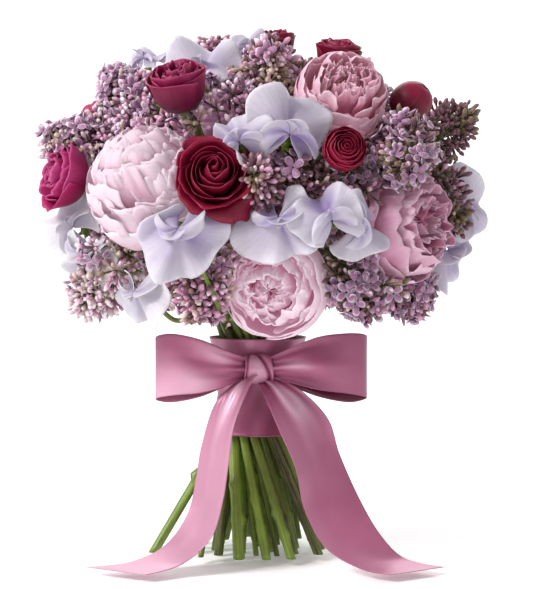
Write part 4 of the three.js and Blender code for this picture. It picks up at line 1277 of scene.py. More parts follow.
@dataclass
class Peony(Piece):
    """A double peony: rows of petals about a small heart."""

    number: int
    bloom: Bloom
    kind: PeonyKind
    finish_of: PetalFinish
    slot: str
    nod: tuple[float, float] = (0.0, 0.0)
    rows: int = 15
    columns: int = 23

    def crumpled(self, local: Array) -> Array:
        """Turns the crown off the stem's axis and makes it uneven.

        Two slow waves along each axis move a point by up to 0.06 radii; a distance past
        one radius grows as a hyperbolic tangent, and stays under 1.05.
        """
        a, b = (math.radians(angle) for angle in self.nod)
        across = np.array([[math.cos(a), 0, math.sin(a)], [0, 1, 0],
                           [-math.sin(a), 0, math.cos(a)]])
        upward = np.array([[1, 0, 0], [0, math.cos(b), math.sin(b)],
                           [0, -math.sin(b), math.cos(b)]])
        rolled = local[..., [1, 2, 0]]
        phase = 1.7 * self.number
        local = 0.985 * local + 0.035 * np.sin(4.3 * rolled + phase) + 0.025 * np.sin(
            9.1 * rolled + 2.1 * local + 2 * phase)
        size = np.maximum(np.linalg.norm(local, axis=-1, keepdims=True), 1e-6)
        kept = np.where(size > 1.0, 1.0 + 0.05 * np.tanh((size - 1.0) / 0.05), size)
        local = local * kept / size
        return local @ across @ upward

    def make(self) -> None:
        """Builds the bloom: its rows of petals, with fewer points at the back, and a heart."""
        rng = np.random.default_rng(PEONY_SEED + self.number)
        body = Body()
        hidden = 4 * int(self.bloom.at[1] > 0)
        for k, row in enumerate(PEONY_ROWS[self.kind]):
            local = row.sheets(rng, self.rows - hidden, self.columns - hidden)
            sheets = self.bloom.placed(self.crumpled(local), BALLS)
            tone = rng.uniform(0, 1, row.count)
            inner = k >= len(PEONY_ROWS[self.kind]) - 1 and self.kind is not PeonyKind.POMPON
            add_blades(body, sheets, PETAL, int(inner), tone)
        full = self.kind is PeonyKind.POMPON
        heart = lathe_stamp(FULL_HEART if full else SMALL_HEART, 18)
        points = self.bloom.placed(self.crumpled(heart.points), BALLS)
        body.add(points, list(heart.faces), 0 if full else 1, along=0.55, tone=0.5)
        deep = PetalFinish(self.finish_of.name + "_heart", self.finish_of.fleck,
                           self.finish_of.fleck, self.finish_of.body, self.finish_of.fleck,
                           glow=self.finish_of.glow)
        self.finish(body, f"peony_{self.number}_petals", [f"peony_{self.number}"], self.slot,
                    [self.finish_of.material(), deep.material()])


@dataclass
class Rose(Piece):
    """A rose, ranunculus or bud: rows of smooth lapped petals."""

    number: int
    bloom: Bloom
    kind: RoseKind
    finish_of: PetalFinish
    slot: str
    rows: int = 15
    columns: int = 22

    def make(self) -> None:
        """Builds the bloom."""
        rng = np.random.default_rng(ROSE_SEED + self.number)
        body = Body()
        for row in ROSE_ROWS[self.kind]:
            sheets = self.bloom.placed(row.sheets(rng, self.rows, self.columns), BALLS)
            add_blades(body, sheets, ROSE_PETAL, 0, rng.uniform(0, 1, row.count))
        # the core wears the petals' darkest base colour: partly the rose's own deep red, partly
        # painted shade in its middle
        core = lathe_stamp([(-0.86, 0.15), (-0.5, 0.4), (0.0, 0.36), (0.3, 0.2), (0.45, 0.08)], 14)
        body.add(self.bloom.placed(core.points, BALLS), list(core.faces), 0, along=0.0, tone=0.2)
        self.finish(body, f"rose_{self.number}_petals", [f"rose_{self.number}"], self.slot,
                    [self.finish_of.material()])


# ---- stems
STEM_JOINTS = 3
JOINT_HEIGHTS = (12, 84)
JOINT_LENGTH = 2.1
SCAR_TURN = 0.6                 # radians


@dataclass
class Stem(Piece):
    """The stem of a peony or rose, with its leaf scars, calyx and sepals."""

    node: str
    bloom: Bloom
    radius: float
    flare: float
    lift: float = 0.75
    sepals: int = 5

    def make(self, materials: Materials) -> None:
        """Builds the stem and the green parts under its flower."""
        rng = np.random.default_rng(sum(map(ord, self.node)))
        body = Body()
        path = Layout.course(self.node, 8)
        add_stem(body, path, self.radius, rng, False)
        axes = axes_of(self.bloom.forward)
        base = self.bloom.centre - BLOOM_BASE * self.bloom.radius * self.bloom.forward
        cup = lathe_stamp([(-2.4, 0.25), (-1.1, 0.6), (0.1, 1.0), (0.9, 1.12)], 14)
        cup.add_to(body, base[None], axes[None], np.array([self.flare]), 0, np.array([0.4]))
        u, v = shares(9, 7)
        turn = (np.arange(self.sepals) * 2 * math.pi / self.sepals)[:, None, None]
        turn = turn + rng.uniform(-0.3, 0.3, turn.shape)
        length = 0.85 * self.bloom.radius * rng.uniform(0.75, 1.1, turn.shape)
        half = 0.24 * length * np.sin(math.pi * np.clip(v, 0, 1) ** 0.75) + 0.4
        out = 0.85 * self.flare + length * (v * 0.75)
        high = length * (self.lift * v - 0.25 * v * v) - 0.25 * self.flare + 0.12 * half * u * u
        side = half * u
        sheets = base + (around(turn, out, side, high) @ axes)
        add_blades(body, sheets, PETAL, 0, rng.uniform(0, 1, self.sepals))
        self.finish(body, self.node + "_stalk", [self.node], "stem_green", materials)


def add_stem(body: Body, path: Array, radius: float, rng: Random,
             woody: bool, sides: int = 12) -> None:
    """Adds a stem with swollen joints and a leaf scar at each.

    A joint adds a bell-shaped swelling round the stem, and a scar adds a bump on one side.

    Args:
        body: the mesh that grows.
        path: the stem's middle line.
        radius: its radius at the foot.
        rng: the series of random numbers.
        woody: whether it wears the brown bark tone.
        sides: points round it.
    """
    run = np.concatenate([[0], np.cumsum(np.linalg.norm(np.diff(path, axis=0), axis=1))])
    taper = 1 - 0.12 * smooth((run - 130) / 80)
    turn = np.linspace(-math.pi, math.pi, sides, endpoint=False)[None]
    bump = 0.03 * radius * np.sin(3 * turn + rng.uniform(0, 6))
    bump = bump + np.zeros((len(path), 1))
    for _ in range(STEM_JOINTS):
        at, side = rng.uniform(*JOINT_HEIGHTS), rng.uniform(-math.pi, math.pi)
        bell = np.exp(-(((run - at) / JOINT_LENGTH) ** 2))[:, None]
        scar = np.exp(-((np.angle(np.exp(1j * (turn - side))) / SCAR_TURN) ** 2))
        bump = bump + radius * bell * (0.2 + 0.75 * scar)
    tone = rng.uniform(0.55, 1.0) if woody else rng.uniform(0.0, 0.55)
    add_tube(body, path, radius * taper, sides, Wear.GREEN, Wear.CUT, bump, tone)


# ---- lilac
class Wear(IntEnum):
    """Places of the materials that green stems and lilac wear."""

    GREEN = 0
    CUT = 1
    PEDICEL = 2
    BUD = 3
    DUSK = 4
    FLORET = 5
    LEAF = 6
    YOUNG = 7


BUD = lathe_stamp([(0.0, 0.08), (0.62, 0.12), (0.9, 0.24), (1.16, 0.22), (1.36, 0.1)], 5)
FLORET = open_floret_stamp()
LOWEST_BUD = 170.0
BUD_MARGINS = (2.0, 2.5)        # mm kept free inside the low and the high walls
FLORET_MARGINS = (8.0, 8.0)
BUD_LENGTHS = (5.4, 8.0)
BUD_STALKS = (1.5, 6.0)
FLORET_WIDTHS = (6.0, 8.2)
LEAF_LENGTHS = (30, 44)
BRANCH_AREA = 42                # mm2 of a panicle's side view for each branch


@dataclass
class BudFans:
    """Fans of lilac buds and florets: how many there are in a fan and how they look."""

    dusk: float
    open_share: float
    buds: int = 14
    spread: float = 0.95

    def add_to(self, body: Body, rng: Random, tip: Array, way: Array) -> None:
        """Adds a fan about each branch tip; what would stand in a bloom is left out.

        The buds of a fan point at golden turns over a cap of the sphere about its way.

        Args:
            body: the mesh that grows.
            rng: the series of random numbers.
            tip: branch tips, shape (branches, 3).
            way: the direction of each branch.
        """
        n, buds = len(tip), self.buds
        k = (np.arange(buds) + 0.5) / buds
        cone = np.arccos(1 - self.spread * k)[None] + rng.uniform(-0.15, 0.15, (n, buds))
        spin = GOLDEN_TURN * np.arange(buds)[None] + rng.uniform(0, 6, (n, 1))
        axes = axes_of(way)
        ray = (np.sin(cone) * np.cos(spin))[..., None] * axes[:, None, 0] \
            + (np.sin(cone) * np.sin(spin))[..., None] * axes[:, None, 1] \
            + np.cos(cone)[..., None] * axes[:, None, 2]
        ray = ray.reshape(-1, 3)
        root = np.repeat(tip, buds, axis=0)
        foot = root + ray * rng.uniform(*BUD_STALKS, n * buds)[:, None]
        size = rng.uniform(*BUD_LENGTHS, n * buds)
        clear = clear_of_blooms(foot + ray * size[:, None])
        top = foot + ray * (1.5 * size)[:, None]
        clear &= Layout.inside(top, *BUD_MARGINS) & (top[:, 2] > LOWEST_BUD)
        root, foot, ray, size = root[clear], foot[clear], ray[clear], size[clear]
        count = len(root)
        if not count:
            return
        fan_tone = np.repeat(rng.uniform(-0.25, 0.25, n), buds)[clear]
        middle = foot + 7.0 * ray
        opened = rng.uniform(0, 1, count) < self.open_share
        opened &= Layout.inside(middle, *FLORET_MARGINS)
        # painted shade: fans with more brown buds get fewer pale heads
        shade = 1 - 0.5 * max(self.dusk, 0.0)
        tone = np.clip((rng.uniform(0, 1, count) + fan_tone) * shade, 0, 1)
        bent = unit(ray + 0.13 * rng.normal(size=(count, 3)))
        frames = spun(axes_of(bent), rng.uniform(0, 6, count))
        add_rods(body, root, foot + 0.4 * ray, 0.4, 0.5, Wear.PEDICEL, tone=tone)
        other = Wear.DUSK if self.dusk > 0 else Wear.YOUNG
        heads = np.where(rng.uniform(0, 1, count) < abs(self.dusk), other, Wear.BUD)
        for material in (Wear.BUD, other):
            some = ~opened & (heads == material)
            if some.any():
                BUD.add_to(body, foot[some], frames[some], size[some], material, tone[some])
        if opened.any():
            width = rng.uniform(*FLORET_WIDTHS, count)[opened]
            FLORET.add_to(body, middle[opened], frames[opened], width, Wear.FLORET,
                          tone[opened])


@dataclass
class Lilac(Piece):
    """A lilac panicle: a woody stem, its axis, side branches, buds and open florets."""

    number: int
    panicle: Panicle

    def outline(self, share: Array) -> Array:
        """The panicle's radius along its axis: round at the start, tapered to the tip."""
        s = np.clip(share, 0.0, 1.0)
        return self.panicle.radius * (1 - (1 - s) ** 6) * (1 - 0.97 * s**2.2) ** 0.8

    def make(self, materials: Materials) -> None:
        """Builds the head: branches at golden turns, each with a fan of buds at its end."""
        node = f"lilac_{self.number}"
        rng = np.random.default_rng(LILAC_SEED + self.number)
        body = Body()
        start, end = np.array(self.panicle.start, float), np.array(self.panicle.end, float)
        loose = int(self.number == LOOSE_LILAC)
        path = Layout.course(node, 8 + loose, straight=2 + loose)
        add_stem(body, path, LILAC_STEM, rng, self.number % 3 > 0)
        forward = unit(end - start)
        length = float(np.linalg.norm(end - start))
        axes = axes_of(forward)
        spine = np.stack([path[-6], *(start + share * (end - start) for share in (0.2, 0.6, 1))])
        add_tube(body, spine, np.array([2.6, 2.3, 1.5, 0.6]), 6, 0)
        count = int(length * self.panicle.radius / BRANCH_AREA)
        share = (np.arange(count) + 0.5) / count
        turn = GOLDEN_TURN * np.arange(count) + rng.uniform(0, 6)
        outward = np.cos(turn)[:, None] * axes[0] + np.sin(turn)[:, None] * axes[1]
        lobes = 0.85 + 0.2 * np.sin(3 * turn + 8 * share)
        reach = self.outline(share * 0.92 + 0.04) * rng.uniform(0.45, 0.9, count) * lobes
        root = start + forward * (length * (share * 0.92))[:, None]
        tip = root + outward * reach[:, None] + forward * (0.3 * reach)[:, None]
        add_rods(body, root, tip, 0.9, 0.6, Wear.PEDICEL, tone=rng.uniform(0, 1, count))
        fans = BudFans(self.panicle.dusk, self.panicle.open_share)
        fans.add_to(body, rng, tip, unit(outward + 0.5 * forward))
        crown = start + forward * length * np.linspace(0.86, 1.0, 3)[:, None]
        fans.add_to(body, rng, crown, np.broadcast_to(forward, (3, 3)))
        self.finish(body, f"lilac_{self.number}_panicle", [node], "lilac", materials)


@dataclass
class SideSprays(Piece):
    """Short side sprays of lilac that fill the head between the larger flowers.

    Their tips lie at golden turns on an ellipsoid inside the head, wherever no bloom
    or panicle covers it.
    """

    middle: Triple = (4.0, -6.0, 262.0)
    reach: Triple = (124.0, 116.0, 92.0)
    places: int = 760
    lowest: float = 186.0
    leaves: int = 34
    added: tuple[Triple, ...] = (
        (-38, -104, 306), (-50, -98, 300), (-42, -88, 318), (-26, -96, 312), (-34, -84, 332),
        (-46, -122, 204), (-38, -118, 192), (-32, -112, 180), (-54, -124, 216), (-24, -106, 174),
        (36, -118, 262), (48, -118, 256), (28, -122, 270), (74, -112, 262), (20, -118, 284),
        (-98, -94, 206), (-108, -88, 220), (-8, -118, 224), (92, -104, 196), (80, -112, 206),
    )

    def tips(self) -> tuple[Array, Array]:
        """Uncovered places on the ellipsoid and their outward directions."""
        k = (np.arange(self.places) + 0.5) / self.places
        high = 1 - 2 * k
        flat = np.sqrt(1 - high**2)
        turn = GOLDEN_TURN * np.arange(self.places)
        ray = np.stack([flat * np.cos(turn), flat * np.sin(turn), high], axis=-1)
        middle, reach = np.array(self.middle), np.array(self.reach)
        tip = middle + ray * reach
        free = (tip[:, 2] > self.lowest) & clear_of_blooms(tip, 3.0)
        for ball in BALLS:
            away = tip - ball.centre
            front = (away[:, 1] < 0) & (ball.centre[1] < 0)
            free &= ~(front & (np.hypot(away[:, 0], away[:, 2]) < 0.95 * ball.radius))
        for panicle in PANICLES:
            a, b = np.array(panicle.start, float), np.array(panicle.end, float)
            share = np.clip((tip - a) @ (b - a) / ((b - a) @ (b - a)), 0, 1)
            away = np.linalg.norm(tip - a - share[:, None] * (b - a), axis=1)
            free &= away > 0.72 * panicle.radius
        tip = np.concatenate([tip[free], np.array(self.added, float)])
        return tip, unit((tip - middle) / reach**2)

    def add_leaves(self, body: Body, rng: Random, quarter: int) -> None:
        """Adds dark leaves deep in one quarter of the head, their faces turned outwards; their
        darkness is partly the leaves' own deep green and partly painted shade inside the head.

        A leaf's half width is a sine of its length raised to 0.8; it is folded along its
        middle vein and bent back towards its tip.
        """
        k = np.arange(quarter, 4 * self.leaves, 4) + 0.5
        high = 1 - 1.75 * k / (4 * self.leaves)
        flat = np.sqrt(1 - high**2)
        turn = 0.5 * math.pi * ((2, 3, 1, 0)[quarter] + rng.uniform(0, 1, len(k)))
        ray = xyz(flat * np.cos(turn), flat * np.sin(turn), high)
        at = np.array(self.middle) + ray * np.array(self.reach) * 0.76
        clear = (at[:, 2] > self.lowest) & clear_of_blooms(at, 12.0)
        at, ray = at[clear], ray[clear]
        frames = spun(axes_of(unit(ray + 0.35 * rng.normal(size=ray.shape))),
                      rng.uniform(0, 2 * math.pi, len(at)))
        u, v = shares(9, 5)
        length = rng.uniform(*LEAF_LENGTHS, len(at))[:, None, None]
        half = 0.3 * length * np.sin(math.pi * np.clip(v, 0.02, 0.985) ** 0.8)
        local = xyz(half * u, length * (v - 0.5), 0.3 * half * np.abs(u) - 0.2 * length * v * v)
        sheets = at[:, None, None] + np.einsum("nrci,nij->nrcj", local, frames)
        add_blades(body, Layout.eased(sheets), LEAF, Wear.LEAF, rng.uniform(0, 1, len(at)))

    def make(self, materials: Materials) -> None:
        """Builds the sprays in four pieces, one for each quarter of the head."""
        tip, way = self.tips()
        quarter = (tip[:, 0] > self.middle[0]).astype(int) + 2 * (tip[:, 1] > self.middle[1])
        for k in range(4):
            rng = np.random.default_rng(SIDE_SEED + k)
            some = quarter == k
            at = tip[some] + rng.normal(scale=2.5, size=(some.sum(), 3))
            body = Body()
            root = at - way[some] * rng.uniform(22, 34, len(at))[:, None]
            root[:, 2] -= 8
            add_rods(body, root, at, 1.0, 0.6, Wear.PEDICEL, tone=rng.uniform(0, 1, len(at)))
            # the quarters at the right wear more brown buds: partly their own colour, partly
            # painted shade away from the key light
            fans = BudFans(0.75 if k % 2 else 0.2, 0.1, 12 - k // 2 * 3, spread=1.0)
            fans.add_to(body, rng, at, way[some])
            self.add_leaves(body, rng, k)
            self.finish(body, f"lilac_side_sprays_{k + 1}", [], "lilac", materials)


# ---- sweet peas
PEA_WEAR = 2                    # the petals' place among a spray's materials
CALYX = 0.085                   # radius of the calyx, in widths of the bloom
SEAT = 0.2                      # how far the stalk ends behind the heart, in widths
STANDARD_SPREAD = math.radians(152)     # from up to each side
WING_SPREAD = math.radians(64)
KEEL_SPREAD = math.radians(60)


@dataclass
class SweetPea(Piece):
    """A spray of sweet peas on one thin stem."""

    number: int
    spray: tuple[PeaBloom, ...]

    def make(self, materials: Materials) -> None:
        """Builds the stem, and for each bloom a stalk, a calyx, a standard and wings."""
        node = f"sweet_pea_{self.number}"
        rng = np.random.default_rng(SWEET_PEA_SEED + self.number)
        body = Body()
        first = self.spray[0]
        seat = first.heart - SEAT * first.width * first.axes[2]
        path = Layout.course(node, 6, top=seat)
        add_stem(body, path, SWEET_PEA_STEM, rng, False, sides=8)
        for k, bloom in enumerate(self.spray):
            if k:
                fork = path[int(0.8 * len(path))]
                mid = 0.5 * (fork + bloom.heart) - 0.1 * np.linalg.norm(bloom.heart - fork) \
                    * bloom.axes[2]
                seat = bloom.heart - SEAT * bloom.width * bloom.axes[2]
                stalk = through(np.stack([fork, mid, seat]), np.linspace(0, 1, 12))
                add_tube(body, stalk, np.full(12, 1.0), 6, 0)
            self.add_calyx(body, bloom, rng)
            self.add_petals(body, bloom, rng)
        self.finish(body, node + "_spray", [node], "sweet_pea_petal", materials)

    def add_calyx(self, body: Body, bloom: PeaBloom, rng: Random) -> None:
        """Adds a green cup with five pointed teeth behind the petals."""
        size = CALYX * bloom.width
        back = bloom.heart - bloom.axes[2] * 3.4 * size
        cup = lathe_stamp([(-0.8, 0.3), (-0.2, 0.7), (0.6, 0.9)], 10)
        cup.add_to(body, back[None], bloom.axes[None], np.array([size]), 0, np.array([0.2]))
        u, v = shares(5, 3)
        turn = (np.arange(5) * 2 * math.pi / 5)[:, None, None] + rng.uniform(0, 6)
        out = size * (0.8 + 1.1 * v)
        side = size * 0.42 * (1 - v) ** 0.8 * u
        high = size * (0.4 + 0.5 * v)
        teeth = back + around(turn, out, side, high) @ bloom.axes
        add_blades(body, teeth, PEA_PETAL, 0, np.full(5, 0.2))

    def add_petals(self, body: Body, bloom: PeaBloom, rng: Random) -> None:
        """Adds a pleated standard that opens like a fan, two hooded wings and a small keel.

        A point of the standard lies at an angle of 152 degrees times u from up, at a
        distance that grows with v, is notched at the middle and shorter at the sides.
        Pleats that fan out from the heart and a rippled rim push it to and fro along the
        way the bloom faces; the hollows of the pleats wear painted shade, as do the folds of
        the wings and the keel between them.
        """
        w = bloom.width
        rows, columns = 15, 43
        u, v = shares(rows, columns)
        p1, p2, p3, p4 = rng.uniform(0, 2 * math.pi, 4)
        angle = u * STANDARD_SPREAD * (1 + 0.06 * np.sin(3 * v + p4))
        notch = 0.14 * v**2 * np.exp(-((u / 0.08) ** 2))
        ripple = 1 + 0.1 * np.sin(3.3 * u + p1) + 0.06 * np.sin(8.1 * u + p2) \
            + 0.025 * np.sin(19 * u + p3)
        length = w * (0.02 + 0.58 * v) * (1 - notch - 0.4 * np.abs(u) ** 2.6) * ripple
        pleat = 0.8 * np.sin(4.4 * u + p1 + 0.5 * v) + 0.45 * np.sin(9.3 * u + p2 - v) \
            - 0.9 * np.exp(-((u / 0.07) ** 2))
        rim_wave = 0.055 * v**3 * np.sin(15 * u + p3) + 0.025 * v**4 * np.sin(29 * u + p4)
        back = w * (0.2 * v**1.2 * pleat + rim_wave - 0.2 * v + 0.1 * v * v
                    - 0.16 * v * u * u)
        side = length * np.sin(angle) + 0.05 * w * v**2 * np.cos(7.3 * u + p2)
        parts = [xyz(side, length * np.cos(angle), back)]
        # painted shade: darker in the hollows of the pleats, paler on their ridges
        tones = [0.5 - 0.5 * np.clip(pleat, -1, 1) * np.ones_like(v)]
        for hand in (-1.0, 1.0):
            fan = u * WING_SPREAD + hand * math.radians(rng.uniform(24, 50))
            q1, q2 = rng.uniform(0, 2 * math.pi, 2)
            span = w * rng.uniform(0.34, 0.42) * (0.04 + v) * (1 - 0.25 * np.abs(u) ** 3) \
                * (1 + 0.12 * np.sin(3 * u + q1))
            fold = np.sin(3.2 * u + q2 + v) + 0.4 * np.sin(8 * u + q1)
            front = w * (0.02 + 0.42 * v - 0.38 * v * v + 0.09 * v**1.5 * fold
                         - 0.14 * v * hand * u)
            high = span * np.cos(fan) * 0.72 - 0.16 * w * v * v
            parts.append(xyz(span * np.sin(fan) * 1.05, high, front))
            # painted shade in the hollows of the wings' folds
            tones.append(0.5 - 0.35 * fold * np.ones_like(v))
        keel_fan = u * KEEL_SPREAD
        keel = w * (0.02 + 0.14 * v)
        parts.append(xyz(0.35 * keel * np.sin(keel_fan), keel * np.cos(keel_fan),
                         w * (0.03 + 0.1 * v * (1 - u * u))))
        # painted shade on the keel, hidden between the wings
        tones.append(np.full((rows, columns), 0.7))
        sheets = bloom.heart + np.stack(parts) @ bloom.axes
        for ball in BALLS:
            away = sheets - ball.centre
            distance = np.linalg.norm(away, axis=-1, keepdims=True)
            short = np.maximum(ball.radius * BALL_ROOM + 1.0 - distance, 0.0)
            sheets = sheets + short * away / distance
        sheets = Layout.eased(sheets)
        tone = np.clip(np.stack(tones), 0, 1)[:, None]
        add_blades(body, sheets, PEA_PETAL, PEA_WEAR, tone)


# ---- ribbon
@dataclass
class Ribbon(Piece):
    """The satin ribbon: the wrap round the tie, and the bow with its knot and tails."""

    satin: bpy.types.Material
    thickness: float = 0.5

    def wall(self, heights: Array) -> Array:
        """The wrap's outer radius at given heights, a curve through the node's rings."""
        points, _ = Layout.points_of("ribbon_wrap")
        reach = np.hypot(points[:, 0], points[:, 1])
        levels = np.unique(np.round(points[:, 2], 1))
        outer = [reach[np.abs(points[:, 2] - z) < 0.1].max() for z in levels]
        return np.polyval(np.polyfit(levels, outer, 3), heights)

    @property
    def knot_y(self) -> float:
        """How far the knot's middle lies in front of the tie."""
        return -float(self.wall(np.array(KNOT_Z)) + KNOT_SIZE[1] + SEAT_GAP)

    def make(self) -> None:
        """Builds the five pieces of ribbon."""
        self.make_wrap()
        self.make_loop("bow_loop_left", LEFT_LOOP, 0.165)
        self.make_loop("bow_loop_right", RIGHT_LOOP, 0.175)
        self.make_tail("bow_tail_left", LEFT_TAIL, 0.17)
        self.make_tail("bow_tail_right", RIGHT_TAIL, 0.175)
        self.make_knot()

    def make_wrap(self) -> None:
        """Builds the wrap: a ring whose radius follows the bundle.

        Two slow waves that climb round it make slanted folds, its hems stand out a
        little, and above a slanting line one turn of ribbon laps over the other.
        """
        rows, columns = 60, 160
        z = np.linspace(WRAP_LOW, WRAP_HIGH, rows)[:, None]
        turn = np.linspace(0, 2 * math.pi, columns, endpoint=False)[None]
        fold = 0.35 * np.sin(5 * turn + 0.11 * z) + 0.25 * np.sin(11 * turn - 0.16 * z + 2)
        hem = 0.25 * sum(np.exp(-(((z - edge) / 1.2) ** 2)) for edge in (WRAP_LOW, WRAP_HIGH))
        reach = self.wall(z) - 0.4 + fold + hem
        lap = 0.5 * smooth((z - (122 + 9 * np.sin(turn + 2.2))) / 1.4)
        outer = xyz((reach + lap) * np.cos(turn), (reach + lap) * np.sin(turn), z)
        inner = outer * np.array([0.97, 0.97, 1.0])
        points = np.concatenate([outer, inner[::-1]])
        faces = grid_faces(2 * rows, columns, closed=True)
        last = (2 * rows - 1) * columns
        k, k2 = np.arange(columns), np.roll(np.arange(columns), -1)
        seam = np.stack([last + k, last + k2, k2, k], axis=-1)
        body = Body()
        share = np.concatenate([np.linspace(-1, 1, rows), np.linspace(1, -1, rows)])[:, None]
        # painted shade: the wrap a little darker all over, more so in the valleys of its folds,
        # and paler on their ridges and where one turn laps over
        hollow = np.clip(0.62 - 0.3 * fold - 0.2 * lap, 0, 1)
        body.add(points, [faces, seam], 0, along=0.5 + 0.5 * np.sin(turn), across=share,
                 tone=np.concatenate([hollow, hollow[::-1]]))
        piece = self.finish(body, "ribbon_wrap_satin", ["ribbon_wrap"], "satin_ribbon",
                            [self.satin])

    def make_strip(self, name: str, sheet: Array, hollow: Array, length: float,
                   rests_on: str) -> None:
        """Args:
            name: the piece's name.
            sheet: its middle surface, shape (rows, columns, 3).
            hollow: painted light and shade at each point, 0 to 1: above a half painted shade,
                deepest in the folds, below a half a painted highlight.
            length: its flat length in metres; not used.
            rests_on: the piece that holds it; not used.
        """
        body = Body()
        tone = np.clip(hollow, 0, 1)[None, None]
        add_blades(body, sheet[None], self.thickness, 0, tone, rim_share=1.0)
        piece = self.finish(body, name, ["ribbon_bow"], "satin_ribbon", [self.satin])

    def make_loop(self, name: str, rows: Array, length: float) -> None:
        """Builds a loop of the bow: out, round and back, pleated where the knot pinches it.

        A curve through the rows gives its middle line and half width. The pleats die
        away from the knot as an exponential, a soft crease lies across its middle, and
        the tone paints light and shade: painted shade inside, near the knot and in pleats
        and crease, and a painted highlight on the front's lobe.

        Args:
            name: the piece's name.
            rows: out, front, above and half width in mm at places along the ribbon.
            length: its flat length in metres.
        """
        u, v = shares(110, 31)
        x, front, above, half = np.moveaxis(through(rows, v[:, 0]), -1, 0)[..., None]
        near = np.exp(-np.abs(x) / 22.0)
        side = np.sign(front + 1e-6) * smooth(np.abs(front) / 4)
        pleat = near * side * (2.6 * np.cos(5.5 * u + 0.6) + 1.2 * np.cos(12 * u + 0.4))
        crease = 1.6 * np.exp(-((np.abs(x) - 34) / 18) ** 2) * np.sin(4.2 * u + 0.05 * x)
        y = self.knot_y - front + side * 2.2 * u * u - pleat - side * crease
        sheet = xyz(x, y, KNOT_Z + above + u * half)
        back = 0.5 - 0.5 * side
        left = x[len(x) // 2] < 0
        lobe = np.exp(-(((np.abs(x) - 26) / 12) ** 2) - ((u - 0.45 * left) / 0.5) ** 2)
        # painted light and shade: darker on the inside, near the knot and in pleats and crease, a
        # gradient across each loop and a painted highlight on the lobe
        hollow = 0.55 + 0.4 * back + near * (0.25 - 0.12 * pleat) - 0.12 * crease * (1 - near) \
            + (0.22 * u - 0.2 if left else 0.12) * smooth((np.abs(x) - 18) / 30) - 0.35 * lobe
        self.make_strip(name, sheet, hollow, length, "bow_knot")

    def make_tail(self, name: str, rows: Array, length: float) -> None:
        """Builds a tail: from the knot down to the floor, pleated at the knot.

        A curve through the rows gives its middle line and the way to its edge. It sags
        between its edges as a parabola times a half sine of its length.

        Args:
            name: the piece's name.
            rows: a place and the way from it to one edge, in mm, along the ribbon.
            length: its flat length in metres.
        """
        u, v = shares(120, 31)
        x, y, z, dx, dy, dz = np.moveaxis(through(rows, v[:, 0]), -1, 0)[..., None]
        near = np.exp(-v * 7.0)
        pleat = near * (2.4 * np.cos(5.5 * u) + 1.3 * np.cos(11 * u + 1))
        sag = 2.6 * np.sin(math.pi * v) * (u * u - 0.4) + 1.1 * np.sin(9 * v + 1.4 * u)
        high = np.maximum(z + u * dz, self.thickness / 2 + 0.2)
        tuck = 5.0 * np.exp(-v * 15.0)
        sheet = xyz(x + u * dx, y + u * dy - pleat - sag + tuck, high - 0.6 * tuck)
        # painted light and shade: the tails paler than the loops, with a painted highlight band
        # below the knot, painted shade near the knot and in the pleats, and the right tail darker,
        # most of all lower down
        band = np.exp(-(((v - 0.16) / 0.09) ** 2) - ((u - 0.1) / 0.45) ** 2)
        right = float(x[-1, 0] > 0)
        hollow = 0.26 + 0.12 * right + 0.3 * near - 0.12 * pleat - (0.4 + 0.4 * right) * band
        hollow = hollow + right * 0.25 * np.exp(-(((v - 0.58) / 0.2) ** 2)) * (0.7 + 0.5 * u)
        self.make_strip(name, sheet, hollow, length, "bow_knot")

    def make_knot(self) -> None:
        """Builds the knot: a creased band over the bow, its edges folded under.

        It runs almost once round an ellipse and bulges in its middle. Two bell-shaped
        creases wander along it, and its outer two fifths are folded back below it.
        """
        u, v = shares(44, 64)
        turn = 2 * math.pi * (0.03 + 0.94 * v)
        wide, deep, high = KNOT_SIZE
        side = np.abs(u)
        under = smooth((side - 0.6) / 0.4)
        spread = np.sign(u) * (np.sin(0.5 * math.pi * np.minimum(side / 0.6, 1)) - 0.75 * under)
        fold = np.exp(-(((u - 0.08 - 0.22 * np.sin(turn + 0.6)) / 0.07) ** 2))
        second = np.exp(-(((u + 0.3 + 0.1 * np.sin(turn)) / 0.06) ** 2))
        depth = 1.5 * fold + 0.9 * second
        swell = 1.04 - 0.12 * spread**2 - 0.3 * smooth((side - 0.52) / 0.3)
        x = wide * spread * (0.9 + 0.08 * np.cos(turn)) + 1.2 * np.sin(turn)
        y = self.knot_y + (deep - depth) * swell * -np.sin(turn)
        z = KNOT_Z + (high - depth) * swell * -np.cos(turn)
        sheet = xyz(x, y, z)
        # painted shade in the creases and towards the folded edges, paler at the front
        hollow = (0.3 + 0.5 * depth + 0.25 * spread**2 - 0.1 * np.sin(turn))[::-1]
        self.make_strip("bow_knot", sheet[::-1], hollow, 0.047, "ribbon_wrap_satin")


